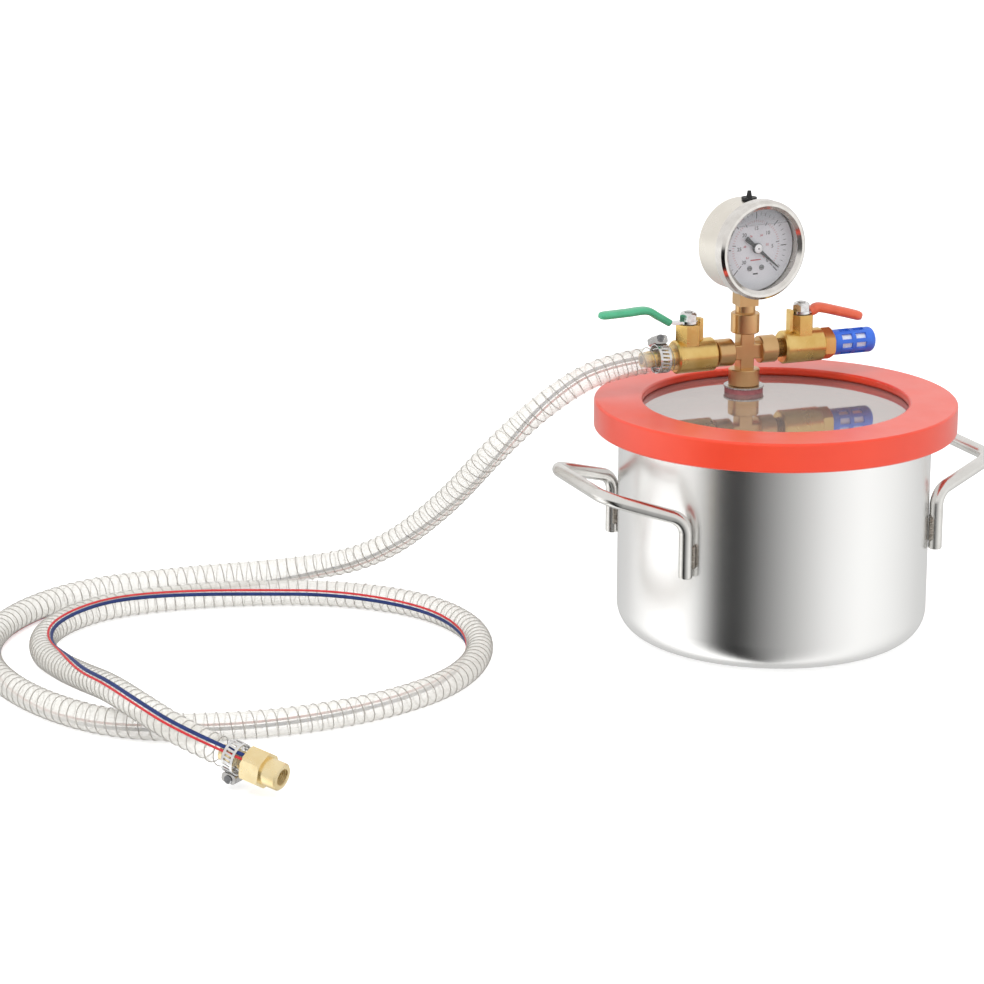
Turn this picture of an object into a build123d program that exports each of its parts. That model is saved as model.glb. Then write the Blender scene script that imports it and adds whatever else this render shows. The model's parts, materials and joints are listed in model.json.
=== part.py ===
from build123d import *
import os
from math import cos, hypot, pi, radians, sin, tan

os.makedirs("parts", exist_ok=True)

# Vacuum chamber: a straight stainless pot whose clear lid sits in a silicone ring and carries a
# brass cross with a dial gauge, a suction valve with its hose, and a vent valve with a muffler.
# Millimetres. Origin at the centre of the pot's base, X along the handles and the pipe run, Z up.

# ---- driving sizes ----
# pot
pot_r = 91.8            # outside
pot_wall = 1.2
pot_h = 126.5
pot_corner_r = 17.0     # outside radius where wall meets base
# handles: bent rod, two welded feet each
rod_r = 4.0
handle_half_angle = 32.5
foot_bottom_z = 54.5
foot_bend_z = 89.0
grip_z = 102.5
grip_x = pot_r + 33.2   # centreline of the grip from the pot's axis
grip_half = 37.0
foot_bend_r = 11.0
grip_bend_r = 14.0
weld_z = (60.0, 74.0)   # height of the weld on each foot
# gasket ring
ring_r = pot_r + 14.6
ring_h = 17.0
ring_lip_r = pot_r - 13.8   # opening in the top lip
ring_lip_h = 5.0
rim_grip = 2.5          # how far the ring comes down over the pot's rim
ring_edge_r = 1.5
# lid
lid_r = pot_r + 5.2
lid_t = 8.0
port_y = 42.0           # the hole for the fittings
# pipe fittings
thread_r = 5.5          # small pipe thread, also the sockets' wall
bore_r = 3.5
arm_w = 9.0             # square arms of the cross
collar_r = 8.2
base_collar_r = 9.3
collar_in, collar_out = 9.0, 19.5
axis_up = 24.6          # pipe axis above the top of the lid's lip
base_collar_h = 10.0
top_collar = (11.5, 23.5)
washer_r = 12.0
rubber_t = 3.0
plate_t = 1.0
# ball valves
valve_s = 37.3          # stem axis from the cross
valve_r = 10.0
left_in = 21.0          # inner and outer faces of the valve bodies
right_in = 24.0
left_out = 46.5
right_out = 57.0
hex_len = 6.5
hex_af = 17.0
ball_r = 6.4
ball_gap = 0.3
cavity_r = 7.2
cavity_half = 7.3
boss_af = 14.0          # hexagonal boss round the stem
boss_up = 19.6
stem_r = 3.0
stem_fit = 0.05
stud_r = 2.4
nut_af = 9.6
nut_h = 5.0
plate_up = 0.4          # lever plate above the boss
lever_t = 1.5
lever_w = 8.0
grip_t = 3.4
# hose and its clamps
hose_r = 8.0
hose_in = hose_r - 3.0
barb_len = 21.0         # at the valve
coupler_barb = 17.0
spigot_in = 1.5         # how far the barb's spigot reaches into the valve
band_t = 0.7
band_w = 7.2
clamp_from_end = 8.5       # middle of the band from the hose's cut end
housing_l = 10.0
housing_h = 5.2
screw_r = 2.3           # worm screw
screw_out = 2.5         # its axis above the band
screw_ends = (-5.0, 6.2)
screw_head_af, screw_head_h = 5.4, 3.0
clamp_lean = 22.0       # the valve clamp's housing, round from the top towards the back
# end coupler
coupler_af = 18.0
coupler_hex = 11.5
nose_r = 7.5
nose_len = 9.5
nose_hole_r = 4.6
nose_hole = 12.0
# muffler
muffler_r = 7.7
muffler_len = 28.5
muffler_wall = 1.5
# gauge
gauge_up = 64.0         # dial centre above the pipe axis
gauge_turn = 7.0        # the dial looks this far round from -Y towards +X
case_r = 27.4
case_back, case_front = -10.5, 15.0
bezel_r = case_r + 2.1
bezel_front = 19.5
bezel_lip_r = case_r - 3.2      # opening that the dial is seen through
shank_turn = -4.0       # the square's flats from -Y
case_wall = 1.2
dial_r = case_r - 1.7
dial_at = 9.0
window_at = 15.5
dial_screw_x, dial_screw_y = (-4.2, 4.2), -12.0
socket_af = 12.0
pointer_len = dial_r - 5.7
pointer_tail = pointer_len / 2
plug_r, plug_up = 4.6, 5.4   # rubber plug on top of the case
socket_block_r = 5.1    # the socket inside the case
socket_in_case = 11.0   # how far the socket's shank reaches into the case
pointer_rest = -40.0    # degrees from the dial's right-hand horizontal, at zero vacuum

# ---- heights that follow ----
ring_z = pot_h - rim_grip
ring_top = ring_z + ring_h
lid_top = ring_top - ring_lip_h
lid_z = lid_top - lid_t
pipe_z = lid_top + axis_up
gauge_z = pipe_z + gauge_up
PORT = Vector(0, port_y, 0)
CROSS = Vector(0, port_y, pipe_z)
flat = 0.2              # play between pieces that screw or press together


def save(shape, name):
    """Write one node."""
    parts = shape.solids()
    body = parts[0] if len(parts) == 1 else Compound(children=list(parts))
    export_step(body, f"parts/{name}.step")
    print(f"{name}: {len(parts)} solid(s), {sum(s.volume for s in parts):.1f} mm3")


def along(origin, direction, x_dir=None):
    """Location whose Z runs along a direction."""
    return Plane(origin=origin, x_dir=x_dir, z_dir=direction).location


def rod(r, z0, z1):
    """Plain cylinder from z0 to z1."""
    return Pos(0, 0, z0) * Cylinder(r, z1 - z0, align=(Align.CENTER, Align.CENTER, Align.MIN))


def tube(r_out, r_in, z0, z1):
    """Cylinder from z0 to z1 with a through bore."""
    return rod(r_out, z0, z1) - rod(r_in, z0 - 1, z1 + 1)


def hexagon(af, z0, z1):
    """Hexagonal bar from z0 to z1, by its width across flats."""
    sketch = RegularPolygon(radius=af / 2, side_count=6, major_radius=False)
    return Pos(0, 0, z0) * extrude(sketch, amount=z1 - z0)


def chamfered_hexagon(af, z0, z1, cut):
    """Hexagonal bar with its corners turned down at both ends."""
    r = af / 2 / cos(pi / 6)
    return hexagon(af, z0, z1) & turned([(0, z0), (r - cut, z0), (r, z0 + cut), (r, z1 - cut),
                                         (r - cut, z1), (0, z1)])


def turned(points):
    """Solid of revolution about Z from (radius, z) points."""
    face = make_face(Polyline(*[(r, 0, z) for r, z in points], close=True))
    return revolve(face, axis=Axis.Z)


def circles(shape, r_min, r_max):
    """Circular edges with a radius between two limits."""
    return [e for e in shape.edges().filter_by(GeomType.CIRCLE) if r_min < e.radius < r_max]


# ---- pot, handles, ring and lid ----
def make_pot():
    outer = fillet(rod(pot_r, 0, pot_h).edges().sort_by(Axis.Z)[0], pot_corner_r)
    inner = rod(pot_r - pot_wall, pot_wall, pot_h + 1)
    inner = fillet(inner.edges().sort_by(Axis.Z)[0], pot_corner_r - pot_wall)
    return outer - inner


def foot_point(side):
    """Centre of a foot in plan, the rod standing clear of the wall by the weld."""
    r = pot_r + rod_r + flat
    return r * cos(radians(handle_half_angle)), side * r * sin(radians(handle_half_angle))


def make_handle():
    """Handle on the +X side: up the wall, out and up to the grip, and back."""
    (xa, ya), (xb, yb) = foot_point(-1), foot_point(1)
    points = [
        (xa, ya, foot_bottom_z), (xa, ya, foot_bend_z), (grip_x, -grip_half, grip_z),
        (grip_x, grip_half, grip_z), (xb, yb, foot_bend_z), (xb, yb, foot_bottom_z),
    ]
    path = FilletPolyline(*points, radius=[foot_bend_r, grip_bend_r, grip_bend_r, foot_bend_r])
    bar = sweep(Plane(origin=points[0], z_dir=(0, 0, 1)) * Circle(rod_r), path=path)
    ends = bar.edges().group_by(Axis.Z)[0]
    bar = fillet(ends, 1.0)
    return bar + [weld(x, y) for x, y in ((xa, ya), (xb, yb))]


def weld(x, y):
    """Weld pad that joins a foot to the curved wall, ending on the wall's surface."""
    pad = Pos(x, y, 0) * Rot(0, 0, handle_half_angle * (1 if y > 0 else -1))
    block = Pos(-rod_r, 0, sum(weld_z) / 2) * Box(rod_r * 2, rod_r * 1.5, weld_z[1] - weld_z[0])
    return pad * fillet(block.edges().filter_by(Axis.Z), 1.0) - rod(pot_r, 0, pot_h)


def make_ring():
    """Silicone ring: slot round the lid's edge and a groove over the pot's rim."""
    play = 0.3
    seat = pot_h
    points = [
        (ring_r, ring_z), (ring_r, ring_top), (ring_lip_r, ring_top), (ring_lip_r, lid_top),
        (lid_r + play, lid_top), (lid_r + play, lid_z), (ring_lip_r + 2, lid_z),
        (ring_lip_r + 2, ring_z), (pot_r - pot_wall - play, ring_z), (pot_r - pot_wall - play, seat),
        (pot_r + play, seat), (pot_r + play, ring_z),
    ]
    ring = turned(points)
    rims = circles(ring, ring_r - 0.1, ring_r + 0.1) + circles(ring, ring_lip_r - 0.1, ring_lip_r + 0.1)
    return fillet(rims, ring_edge_r)


def make_lid():
    plate = rod(lid_r, lid_z, lid_top) - Pos(PORT) * rod(thread_r + flat, lid_z - 1, lid_top + 1)
    return chamfer(circles(plate, lid_r - 1, lid_r + 1), 0.8)


# ---- fittings on the lid ----
def washers():
    """Washers above and below the plate: rubber against the plate, then metal."""
    hole = thread_r + flat
    top, low = lid_top, lid_z
    return {
        "rubber_washer_top": tube(washer_r - 0.5, hole, top, top + rubber_t),
        "plate_washer_top": tube(washer_r, hole, top + rubber_t, top + rubber_t + plate_t),
        "rubber_washer_bottom": tube(washer_r - 0.5, hole, low - rubber_t, low),
        "plate_washer_bottom": tube(washer_r, hole, low - rubber_t - plate_t, low - rubber_t),
    }


collar_base_z = lid_top + rubber_t + plate_t
nut_top_z = lid_z - rubber_t - plate_t
lid_nut_h = 5.0


def make_lid_nut():
    nut = hexagon(17.0, nut_top_z - lid_nut_h, nut_top_z)
    return nut - rod(thread_r, nut_top_z - lid_nut_h - 1, nut_top_z + 1)


def make_bulkhead():
    """Threaded nipple through the lid, into the cross's lower collar."""
    return tube(thread_r, bore_r, nut_top_z - lid_nut_h - 2, collar_base_z + base_collar_h - 2)


def make_cross():
    """Square-armed cross with a round collar on each end, bored through both ways."""
    arms = Box(2 * collar_out - 2, arm_w, arm_w)
    low = collar_base_z - pipe_z
    arms += Pos(0, 0, (low + top_collar[1]) / 2) * Box(arm_w, arm_w, top_collar[1] - low - 2)
    arms = fillet(arms.edges().filter_by(Axis.X) + arms.edges().filter_by(Axis.Z), 0.8)
    body = arms + rod(base_collar_r, low, low + base_collar_h)
    body += rod(collar_r + 0.4, *top_collar)
    for turn in (90, -90):
        body += Rot(0, turn, 0) * rod(collar_r, collar_in, collar_out)
    body -= Rot(0, 90, 0) * rod(bore_r, -collar_out - 1, collar_out + 1)
    body -= rod(bore_r, low - 1, top_collar[1] + 1)
    for turn in (90, -90):
        body -= Rot(0, turn, 0) * rod(thread_r, collar_in + 2, collar_out + 1)
    body -= rod(thread_r, low - 1, low + base_collar_h - 2)
    body -= rod(thread_r, top_collar[0] + 3, top_collar[1] + 1)
    return chamfer(circles(body, collar_r - 0.1, base_collar_r + 0.1), 0.5)


def make_nipple(valve_in):
    """Short threaded nipple between a collar and a valve, along +X."""
    return Rot(0, 90, 0) * tube(thread_r, bore_r, collar_in + 2, valve_in + 6)


# ---- ball valves, drawn along +X with the stem at valve_s ----
def valve_body(valve_in, out, with_hex):
    """Round body with its stem boss and stop ear."""
    body = Rot(0, 90, 0) * rod(valve_r, valve_in, out - (hex_len if with_hex else 0))
    rims = body.edges().filter_by(GeomType.CIRCLE)
    body = chamfer(rims, 1.0)
    if with_hex:
        body += Rot(0, 90, 0) * chamfered_hexagon(hex_af, out - hex_len - 0.5, out, 0.8)
    boss = Pos(valve_s, 0, 0) * chamfered_hexagon(boss_af, valve_r - 4, boss_up, 0.6)
    ear = Pos(valve_s - boss_af / 2 - 0.6, 0, (boss_up + valve_r) / 2)
    body += boss + ear * Box(2.2, 5.0, boss_up - valve_r + 6)
    c0, c1 = valve_s - cavity_half, valve_s + cavity_half
    body -= Rot(0, 90, 0) * rod(cavity_r, c0, c1)
    body -= Rot(0, 90, 0) * rod(thread_r, valve_in - 1, c0 + 1)
    body -= Rot(0, 90, 0) * rod(thread_r if with_hex else bore_r + 1, c1 - 1, out + 1)
    body -= Pos(valve_s, 0, 0) * rod(stem_r + stem_fit, 0, boss_up + 1)
    return body - Pos(valve_s, 0, 0) * rod(stem_r + 1.6, boss_up - 4, boss_up + 1)


def valve_ball():
    ball = Sphere(ball_r) - Rot(0, 90, 0) * rod(bore_r, -10, 10)
    return Pos(valve_s, 0, 0) * (ball - Pos(0, 0, ball_r) * Box(10, 2.2, 3.6))


def valve_seats():
    """PTFE rings each side of the ball."""
    ring = tube(cavity_r - 0.1, bore_r, ball_r * 0.6, cavity_half) - Sphere(ball_r + ball_gap)
    return Pos(valve_s, 0, 0) * (Rot(0, 90, 0) * ring + Rot(0, -90, 0) * ring)


def valve_stem():
    """Tongue in the ball, running part in the boss, threaded end through the lever."""
    tongue = Pos(0, 0, ball_r) * Box(5.0, 2.0, 2.8)
    top = boss_up + plate_up + lever_t + nut_h + 0.6
    stem = rod(stem_r, ball_r + 1.0, boss_up + plate_up) + rod(stud_r, boss_up, top)
    return Pos(valve_s, 0, 0) * (stem + tongue)


def valve_packing():
    """Gland ring round the stem, let into the top of the boss."""
    return Pos(valve_s, 0, 0) * tube(stem_r + 1.5, stem_r + stem_fit, boss_up - 4, boss_up)


def lever_strip(points, width, thick):
    """Flat strip bent along an XZ line, rounded at its far end."""
    path = [(x + valve_s, 0, z) for x, z in points]
    line = FilletPolyline(*path, radius=3.0)
    first = Plane(origin=path[0], x_dir=(0, 1, 0), z_dir=Vector(*path[1]) - Vector(*path[0]))
    strip = sweep(first * Rectangle(width, thick), path=line)
    far = [e for e in strip.edges().filter_by(Axis.Z) if e.center().X > path[-1][0] - 2]
    return fillet(far, width / 2 - 0.1) if len(far) == 2 else strip


plate_mid = boss_up + plate_up + lever_t / 2
left_line = [(0, plate_mid), (11.0, plate_mid), (24.5, plate_mid + 9.0), (55.0, plate_mid + 8.2)]
right_line = [(0, plate_mid), (6.0, plate_mid), (11.5, plate_mid + 2.4), (40.0, plate_mid - 4.6)]


def valve_lever(line):
    """Steel lever: hub with the stud hole, and the strip as far as the grip's core."""
    hub = Pos(valve_s, 0, 0) * rod(5.6, plate_mid - lever_t / 2, plate_mid + lever_t / 2)
    body = hub + lever_strip(line, lever_w - 2.6, lever_t)
    return body - Pos(valve_s, 0, 0) * rod(stud_r, plate_mid - 3, plate_mid + 3)


def valve_grip(line, grip_from):
    """Dipped plastic sleeve round the lever's outer part."""
    (xa, za), (xb, zb) = line[1], line[2]
    start = (xa + (xb - xa) * grip_from, za + (zb - za) * grip_from)
    u = Vector(line[3][0] - line[2][0], 0, line[3][1] - line[2][1]).normalized()
    end = (line[3][0] + u.X * 2.0, line[3][1] + u.Z * 2.0)
    sleeve = lever_strip([start, line[2], end], lever_w, grip_t)
    return sleeve - lever_strip(line, lever_w - 2.6 + 0.02, lever_t + 0.02)


def valve_nut():
    z0 = plate_mid + lever_t / 2
    nut = hexagon(nut_af, z0, z0 + nut_h) & turned_dome(z0)
    return Pos(valve_s, 0, 0) * (nut - rod(stud_r, z0 - 1, z0 + nut_h + 1))


def turned_dome(z0):
    """Envelope that rounds a nut's top corners."""
    r = nut_af / 2 / cos(pi / 6)
    return turned([(0, z0), (r, z0), (r, z0 + nut_h - 1.6), (nut_af / 2 - 0.6, z0 + nut_h), (0, z0 + nut_h)])


# ---- muffler, along +X from the vent valve ----
def make_muffler():
    """Threaded spigot and a slotted thimble: two rows of windows round it."""
    s0, s1 = right_out, right_out + muffler_len
    body = fillet(rod(muffler_r, s0, s1).edges().sort_by(Axis.Z)[-1], 3.0)
    body = body + tube(thread_r, bore_r, s0 - 9, s0)
    body -= rod(muffler_r - muffler_wall, s0 + 4, s1 - 2)
    body -= rod(bore_r, s0 - 10, s0 + 5)
    for row in range(2):
        z = s0 + 8.6 + row * 9.4
        for i in range(8):
            slot = Pos(muffler_r - 1, 0, z) * Box(4, 3.6, 7.0)
            body -= Rot(0, 0, i * 45 + 10) * slot
    return Rot(0, 90, 0) * body


def make_element():
    s0 = right_out
    return Rot(0, 90, 0) * tube(muffler_r - muffler_wall - 0.1, bore_r, s0 + 4, s0 + muffler_len - 2)


# ---- hose route and what is on it ----
lie = hose_r + 0.05     # centre height on the floor
hump = lie + 2 * hose_r + 3.0   # centre height where the hose passes over its own front strand
side = -ring_r          # the hose clears the ring on this side of the pot
ROUTE = [
    (-left_out, port_y, pipe_z), (side + 19.4, port_y, pipe_z), (side - 18.6, 46, pipe_z - 19.6),
    (side - 44.6, 65, pipe_z * 0.679), (side - 61.6, 108, pipe_z * 0.395),
    (side - 91.6, 150.5, pipe_z * 0.146), (side - 136.6, 185, 10), (side - 198.6, 200, lie),
    (side - 268.6, 198, lie), (side - 325.6, 155, lie), (side - 351.6, 88, lie),
    (side - 343.6, 15, lie), (side - 308.6, -48, lie), (side - 243.6, -74, lie),
    (side - 168.6, -72, lie), (side - 105.6, -42, lie), (side - 67.6, 20, lie),
    (side - 73.6, 88, lie), (side - 118.6, 138, lie), (side - 183.6, 161, lie),
    (side - 243.6, 166, lie), (side - 279.6, 152, lie), (side - 305.6, 124, 8.3),
    (side - 316.6, 87, 9.7), (side - 316.1, 47, 14), (side - 313.1, 6, 20),
    (side - 309.1, -36, hump), (side - 301.6, -79, hump), (side - 288.6, -116, 22.5),
    (side - 265.6, -146.5, 15.5),
]
HOSE_END = Vector(*ROUTE[-1])
end_dir = (HOSE_END - Vector(*ROUTE[-2])).normalized()


def bend_radii(points):
    """As large an arc at each corner as its shorter run allows."""
    out = []
    for a, b, c in zip(points, points[1:], points[2:]):
        p, q = Vector(*b) - Vector(*a), Vector(*c) - Vector(*b)
        half = radians(p.get_angle(q)) / 2
        out.append(0.45 * min(p.length, q.length) / tan(half))
    return out


def make_hose():
    radii = bend_radii(ROUTE)
    print("hose bends:", [round(r) for r in radii])
    path = FilletPolyline(*ROUTE, radius=radii)
    start = Plane(origin=ROUTE[0], z_dir=(-1, 0, 0))
    hose = sweep(start * (Circle(hose_r) - Circle(hose_in)), path=path)
    section = pi * (hose_r ** 2 - hose_in ** 2)
    print(f"hose length {path.length:.1f}, volume {hose.volume:.0f} against {section * path.length:.0f}")
    return hose


def barb(length):
    """Ribbed spigot up Z, its ribs the size of the hose's bore."""
    body = rod(hose_in - 0.6, 0, length)
    pitch = length / 4
    for i in range(4):
        z = i * pitch
        rib = [(0, z), (hose_in, z), (hose_in, z + 0.8), (hose_in - 0.8, z + pitch), (0, z + pitch)]
        body += turned(rib)
    return body


def make_hose_barb():
    """Barb screwed into the suction valve; the hose is pushed up to the valve's face."""
    body = barb(barb_len) + rod(bore_r + 0.95, -spigot_in, 0)
    body -= rod(bore_r - 0.8, -4, barb_len + 1)
    return along((-left_out, port_y, pipe_z), (-1, 0, 0)) * body


def clamp(at, direction, side):
    """Worm clamp at a point on the hose: band, housing with its saddle, and screw.

    side is the way from the hose's axis to the housing.
    """
    place = along(at, direction, x_dir=side)
    r_in, r_out = hose_r + 0.05, hose_r + 0.05 + band_t
    band = tube(r_out, r_in, -band_w / 2, band_w / 2)
    mid = r_out + screw_out
    house = Pos(mid - 0.6, 0.5, 0) * Box(housing_h, housing_l, band_w + 1.4)
    house = fillet(house.edges().filter_by(Axis.Y), 1.8)
    house = house - Pos(mid, 0.5, 0) * Rot(90, 0, 0) * Cylinder(screw_r + 0.1, housing_l + 2)
    house -= rod(r_out, -10, 10)
    screw = Pos(mid, 0, 0) * Rot(-90, 0, 0) * rod(screw_r, *screw_ends)
    top = screw_ends[1] + screw_head_h
    head = hexagon(screw_head_af, screw_ends[1], top) - Pos(0, 0, top) * Box(7, 1, 2)
    head = Pos(mid, 0, 0) * Rot(-90, 0, 0) * head
    screw -= rod(r_out + 0.05, -10, 10)
    return place * band, place * house, place * (screw + head)


def make_coupler():
    """Hose end: barb, hexagon and a nose with a threaded hole."""
    body = Rot(180, 0, 0) * barb(coupler_barb)
    body += chamfered_hexagon(coupler_af, 0, coupler_hex, 0.9)
    nose = rod(nose_r, coupler_hex, coupler_hex + nose_len)
    body += chamfer(nose.edges().sort_by(Axis.Z)[-1], 0.8)
    tip = coupler_hex + nose_len
    body -= rod(nose_hole_r, tip - nose_hole, tip + 1)
    body -= rod(bore_r - 0.8, -coupler_barb - 1, tip)
    side = Vector(0, 0, 1).cross(end_dir)
    return along(HOSE_END, end_dir, x_dir=Vector(end_dir.cross(side))) * body


# ---- gauge: drawn facing +Z about its own axis, then turned to look along its facing ----
facing = Vector(sin(radians(gauge_turn)), -cos(radians(gauge_turn)), 0)
GAUGE = along((0, port_y, gauge_z), facing, x_dir=facing.cross(Vector(0, 0, 1)) * -1)


def gauge_parts():
    """Case, bezel, window, dial, pointer, movement, bourdon tube, stop pin and plug."""
    inner = case_r - case_wall
    case = tube(case_r, inner, case_back, case_front) + rod(case_r, case_back, case_back + case_wall)
    case += tube(case_r + 1.2, inner, case_front - 2, case_front)
    case -= Pos(0, case_r, 1.5) * Rot(90, 0, 0) * Cylinder(3.0, 8)
    case -= Pos(0, -case_r, 0) * Rot(90, 0, 0) * Cylinder(socket_block_r + 0.1, 8)
    back = [e for e in circles(case, case_r - 0.1, case_r + 0.1) if e.center().Z < case_back + 0.1]
    case = fillet(back, 0.8)
    bezel = turned([
        (case_r + 1.4, case_front - 3.5), (bezel_r, case_front - 3.5), (bezel_r, bezel_front - 1.6),
        (bezel_r - 1.6, bezel_front), (bezel_r - 3.2, bezel_front), (bezel_lip_r, bezel_front - 1.8),
        (bezel_lip_r, window_at + 1.5), (bezel_r - 1.6, window_at + 1.5), (bezel_r - 1.6, case_front),
        (case_r + 1.4, case_front),
    ])
    window = rod(bezel_r - 1.7, case_front, window_at + 1.5)
    dial = rod(dial_r, dial_at, dial_at + 0.8) - rod(1.6, dial_at - 1, dial_at + 2)
    dial -= [Pos(x, dial_screw_y, 0) * rod(1.0, dial_at - 1, dial_at + 2) for x in dial_screw_x]
    screws = [Pos(x, dial_screw_y, 0) * (rod(1.6, dial_at + 0.8, dial_at + 1.3)
                                         + rod(0.95, 3, dial_at + 0.8)) for x in dial_screw_x]
    block_top = -case_r + socket_in_case
    movement = Pos(0, 1, 0) * Box(case_r * 0.73, case_r * 0.95, 1.4)
    foot = Box(8, -case_r * 0.4 - block_top, 1.4, align=(Align.CENTER, Align.MIN, Align.CENTER))
    movement += Pos(0, block_top, 0) * foot
    movement = Pos(0, 0, 2.3) * (movement - rod(1.3, -2, 2))
    tube_path = CenterArc((0, 0, -1.5), case_r - 6.4, -80, 280)
    bourdon = sweep(Plane(origin=tube_path @ 0, z_dir=tube_path % 0) * Circle(2.4), path=tube_path)
    bourdon -= Pos(0, -case_r, 0) * Rot(90, 0, 0) * Cylinder(socket_block_r + 0.05, 2 * socket_in_case)
    return case, bezel, window, dial, screws, movement, bourdon


def make_pointer():
    """Hub, tapered blade and counterweight tail; its shaft goes through the dial."""
    z0, t = dial_at + 2.0, 0.6
    blade = make_face(Polyline((0, 1.1), (pointer_len, 0.25), (pointer_len, -0.25), (0, -1.1),
                               (-pointer_tail * 0.45, -1.2), (-pointer_tail, -1.5),
                               (-pointer_tail, 1.5), (-pointer_tail * 0.45, 1.2), close=True))
    body = Pos(0, 0, z0) * extrude(blade, amount=t)
    body += rod(3.0, z0 - 0.3, z0 + t + 1.0)
    return Rot(0, 0, pointer_rest) * (body + rod(1.0, 2.0, z0))


def make_gauge_socket():
    """Brass shank up from the cross: threaded end, neck, square, and the block inside the case."""
    low = pipe_z + top_collar[0] + 3 + flat
    neck = pipe_z + top_collar[1]
    floor = gauge_z - case_r
    body = rod(thread_r, low, neck) + rod(6.0, neck, neck + 4.5)
    square = Box(socket_af, socket_af, floor + 2.5 - neck - 4.5,
                 align=(Align.CENTER, Align.CENTER, Align.MIN))
    body += Rot(0, 0, shank_turn) * Pos(0, 0, neck + 4.5) * square
    body -= Pos(0, -port_y, 0) * GAUGE * rod(case_r + 0.05, case_back, case_front + 5)
    body += rod(socket_block_r, floor - 2, floor + socket_in_case)
    return body - rod(1.6, low - 1, floor + socket_in_case - 3)


def main():
    save(make_pot(), "pot")
    handle = make_handle()
    save(handle, "handle_right")
    save(Rot(0, 0, 180) * handle, "handle_left")
    save(make_ring(), "gasket_ring")
    save(make_lid(), "lid")
    for name, shape in washers().items():
        save(Pos(PORT) * shape, name)
    save(Pos(PORT) * make_lid_nut(), "lid_nut")
    save(Pos(PORT) * make_bulkhead(), "bulkhead_nipple")
    save(Pos(CROSS) * make_cross(), "cross")
    right, left = Pos(CROSS), Pos(CROSS) * Rot(0, 0, 180)
    save(right * make_nipple(right_in), "nipple_right")
    save(left * make_nipple(left_in), "nipple_left")
    sides = (("suction", left, (left_in, left_out), False, left_line, 0.15),
             ("vent", right, (right_in, right_out), True, right_line, 0.5))
    for name, place, faces, with_hex, line, grip_from in sides:
        save(place * valve_body(*faces, with_hex), f"{name}_valve_body")
        save(place * valve_ball(), f"{name}_ball")
        save(place * valve_seats(), f"{name}_seats")
        save(place * valve_stem(), f"{name}_stem")
        save(place * valve_packing(), f"{name}_packing")
        save(place * valve_lever(line), f"{name}_lever")
        save(place * valve_grip(line, grip_from), f"{name}_grip")
        save(place * valve_nut(), f"{name}_lever_nut")
    save(right * make_muffler(), "muffler")
    save(right * make_element(), "muffler_element")
    save(make_hose_barb(), "hose_barb")
    save(make_hose(), "hose")
    near = Vector(-left_out - clamp_from_end, port_y, pipe_z)
    far = HOSE_END - end_dir * clamp_from_end
    low_side = end_dir.cross(Vector(0, 0, 1).cross(end_dir)).normalized() * -1
    top_back = (0, sin(radians(clamp_lean)), cos(radians(clamp_lean)))
    for name, shapes in (("valve_clamp", clamp(near, (-1, 0, 0), top_back)),
                         ("end_clamp", clamp(far, end_dir, low_side))):
        for piece, shape in zip(("band", "housing", "screw"), shapes):
            save(shape, f"{name}_{piece}")
    save(make_coupler(), "end_coupler")
    case, bezel, window, dial, screws, movement, bourdon = gauge_parts()
    for piece, shape in (("case", case), ("bezel", bezel), ("window", window), ("dial", dial),
                         ("dial_screws", screws[0] + screws[1]), ("movement", movement),
                         ("bourdon", bourdon), ("pointer", make_pointer())):
        save(GAUGE * shape, f"gauge_{piece}")
    plug = rod(2.9, case_r - 2.5, case_r + 0.2) + rod(plug_r, case_r + 0.2, case_r + 1.6)
    plug += turned([(0, case_r + 1.6), (1.7, case_r + 1.6), (1.1, case_r + plug_up), (0, case_r + plug_up)])
    save(GAUGE * Pos(0, 0, 1.5) * Rot(-90, 0, 0) * plug, "gauge_plug")
    save(Pos(PORT) * make_gauge_socket(), "gauge_socket")


main()
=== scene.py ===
"""Looks, light and camera for a vacuum chamber with its clear hose."""

from __future__ import annotations

import json
import logging
import math
from collections.abc import Callable, Sequence
from dataclasses import dataclass, field
from enum import Enum

import bpy
from mathutils import Matrix, Vector

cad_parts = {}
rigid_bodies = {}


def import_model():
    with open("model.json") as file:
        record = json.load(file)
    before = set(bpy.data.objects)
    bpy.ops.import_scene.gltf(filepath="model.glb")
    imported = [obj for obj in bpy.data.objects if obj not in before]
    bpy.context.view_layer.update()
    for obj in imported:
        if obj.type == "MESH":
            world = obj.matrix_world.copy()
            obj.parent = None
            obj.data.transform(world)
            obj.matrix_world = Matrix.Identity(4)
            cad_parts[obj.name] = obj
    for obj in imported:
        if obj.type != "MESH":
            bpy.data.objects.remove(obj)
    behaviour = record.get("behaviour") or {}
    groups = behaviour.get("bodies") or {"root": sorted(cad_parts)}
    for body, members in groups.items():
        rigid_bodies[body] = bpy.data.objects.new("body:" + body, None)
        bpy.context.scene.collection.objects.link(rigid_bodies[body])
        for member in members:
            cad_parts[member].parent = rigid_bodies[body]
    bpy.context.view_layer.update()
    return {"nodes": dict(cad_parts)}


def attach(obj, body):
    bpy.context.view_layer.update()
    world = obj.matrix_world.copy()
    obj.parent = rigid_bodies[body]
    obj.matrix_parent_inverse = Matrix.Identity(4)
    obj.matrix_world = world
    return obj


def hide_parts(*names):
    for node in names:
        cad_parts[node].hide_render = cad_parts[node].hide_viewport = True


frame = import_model()
LOG = logging.getLogger("vacuum_chamber")
MM = 0.001
TURN = 2.0 * math.pi
# Sides of a round wire's section.
WIRE_SIDES = 6
# What a node's input takes.
Value = float | int | tuple[float, ...] | bpy.types.NodeSocket
# Two numbers that belong together, and a mesh as its corners and faces.
Pair = tuple[float, float]
Shell = tuple[list[Vector], list[list[int]]]


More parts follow.
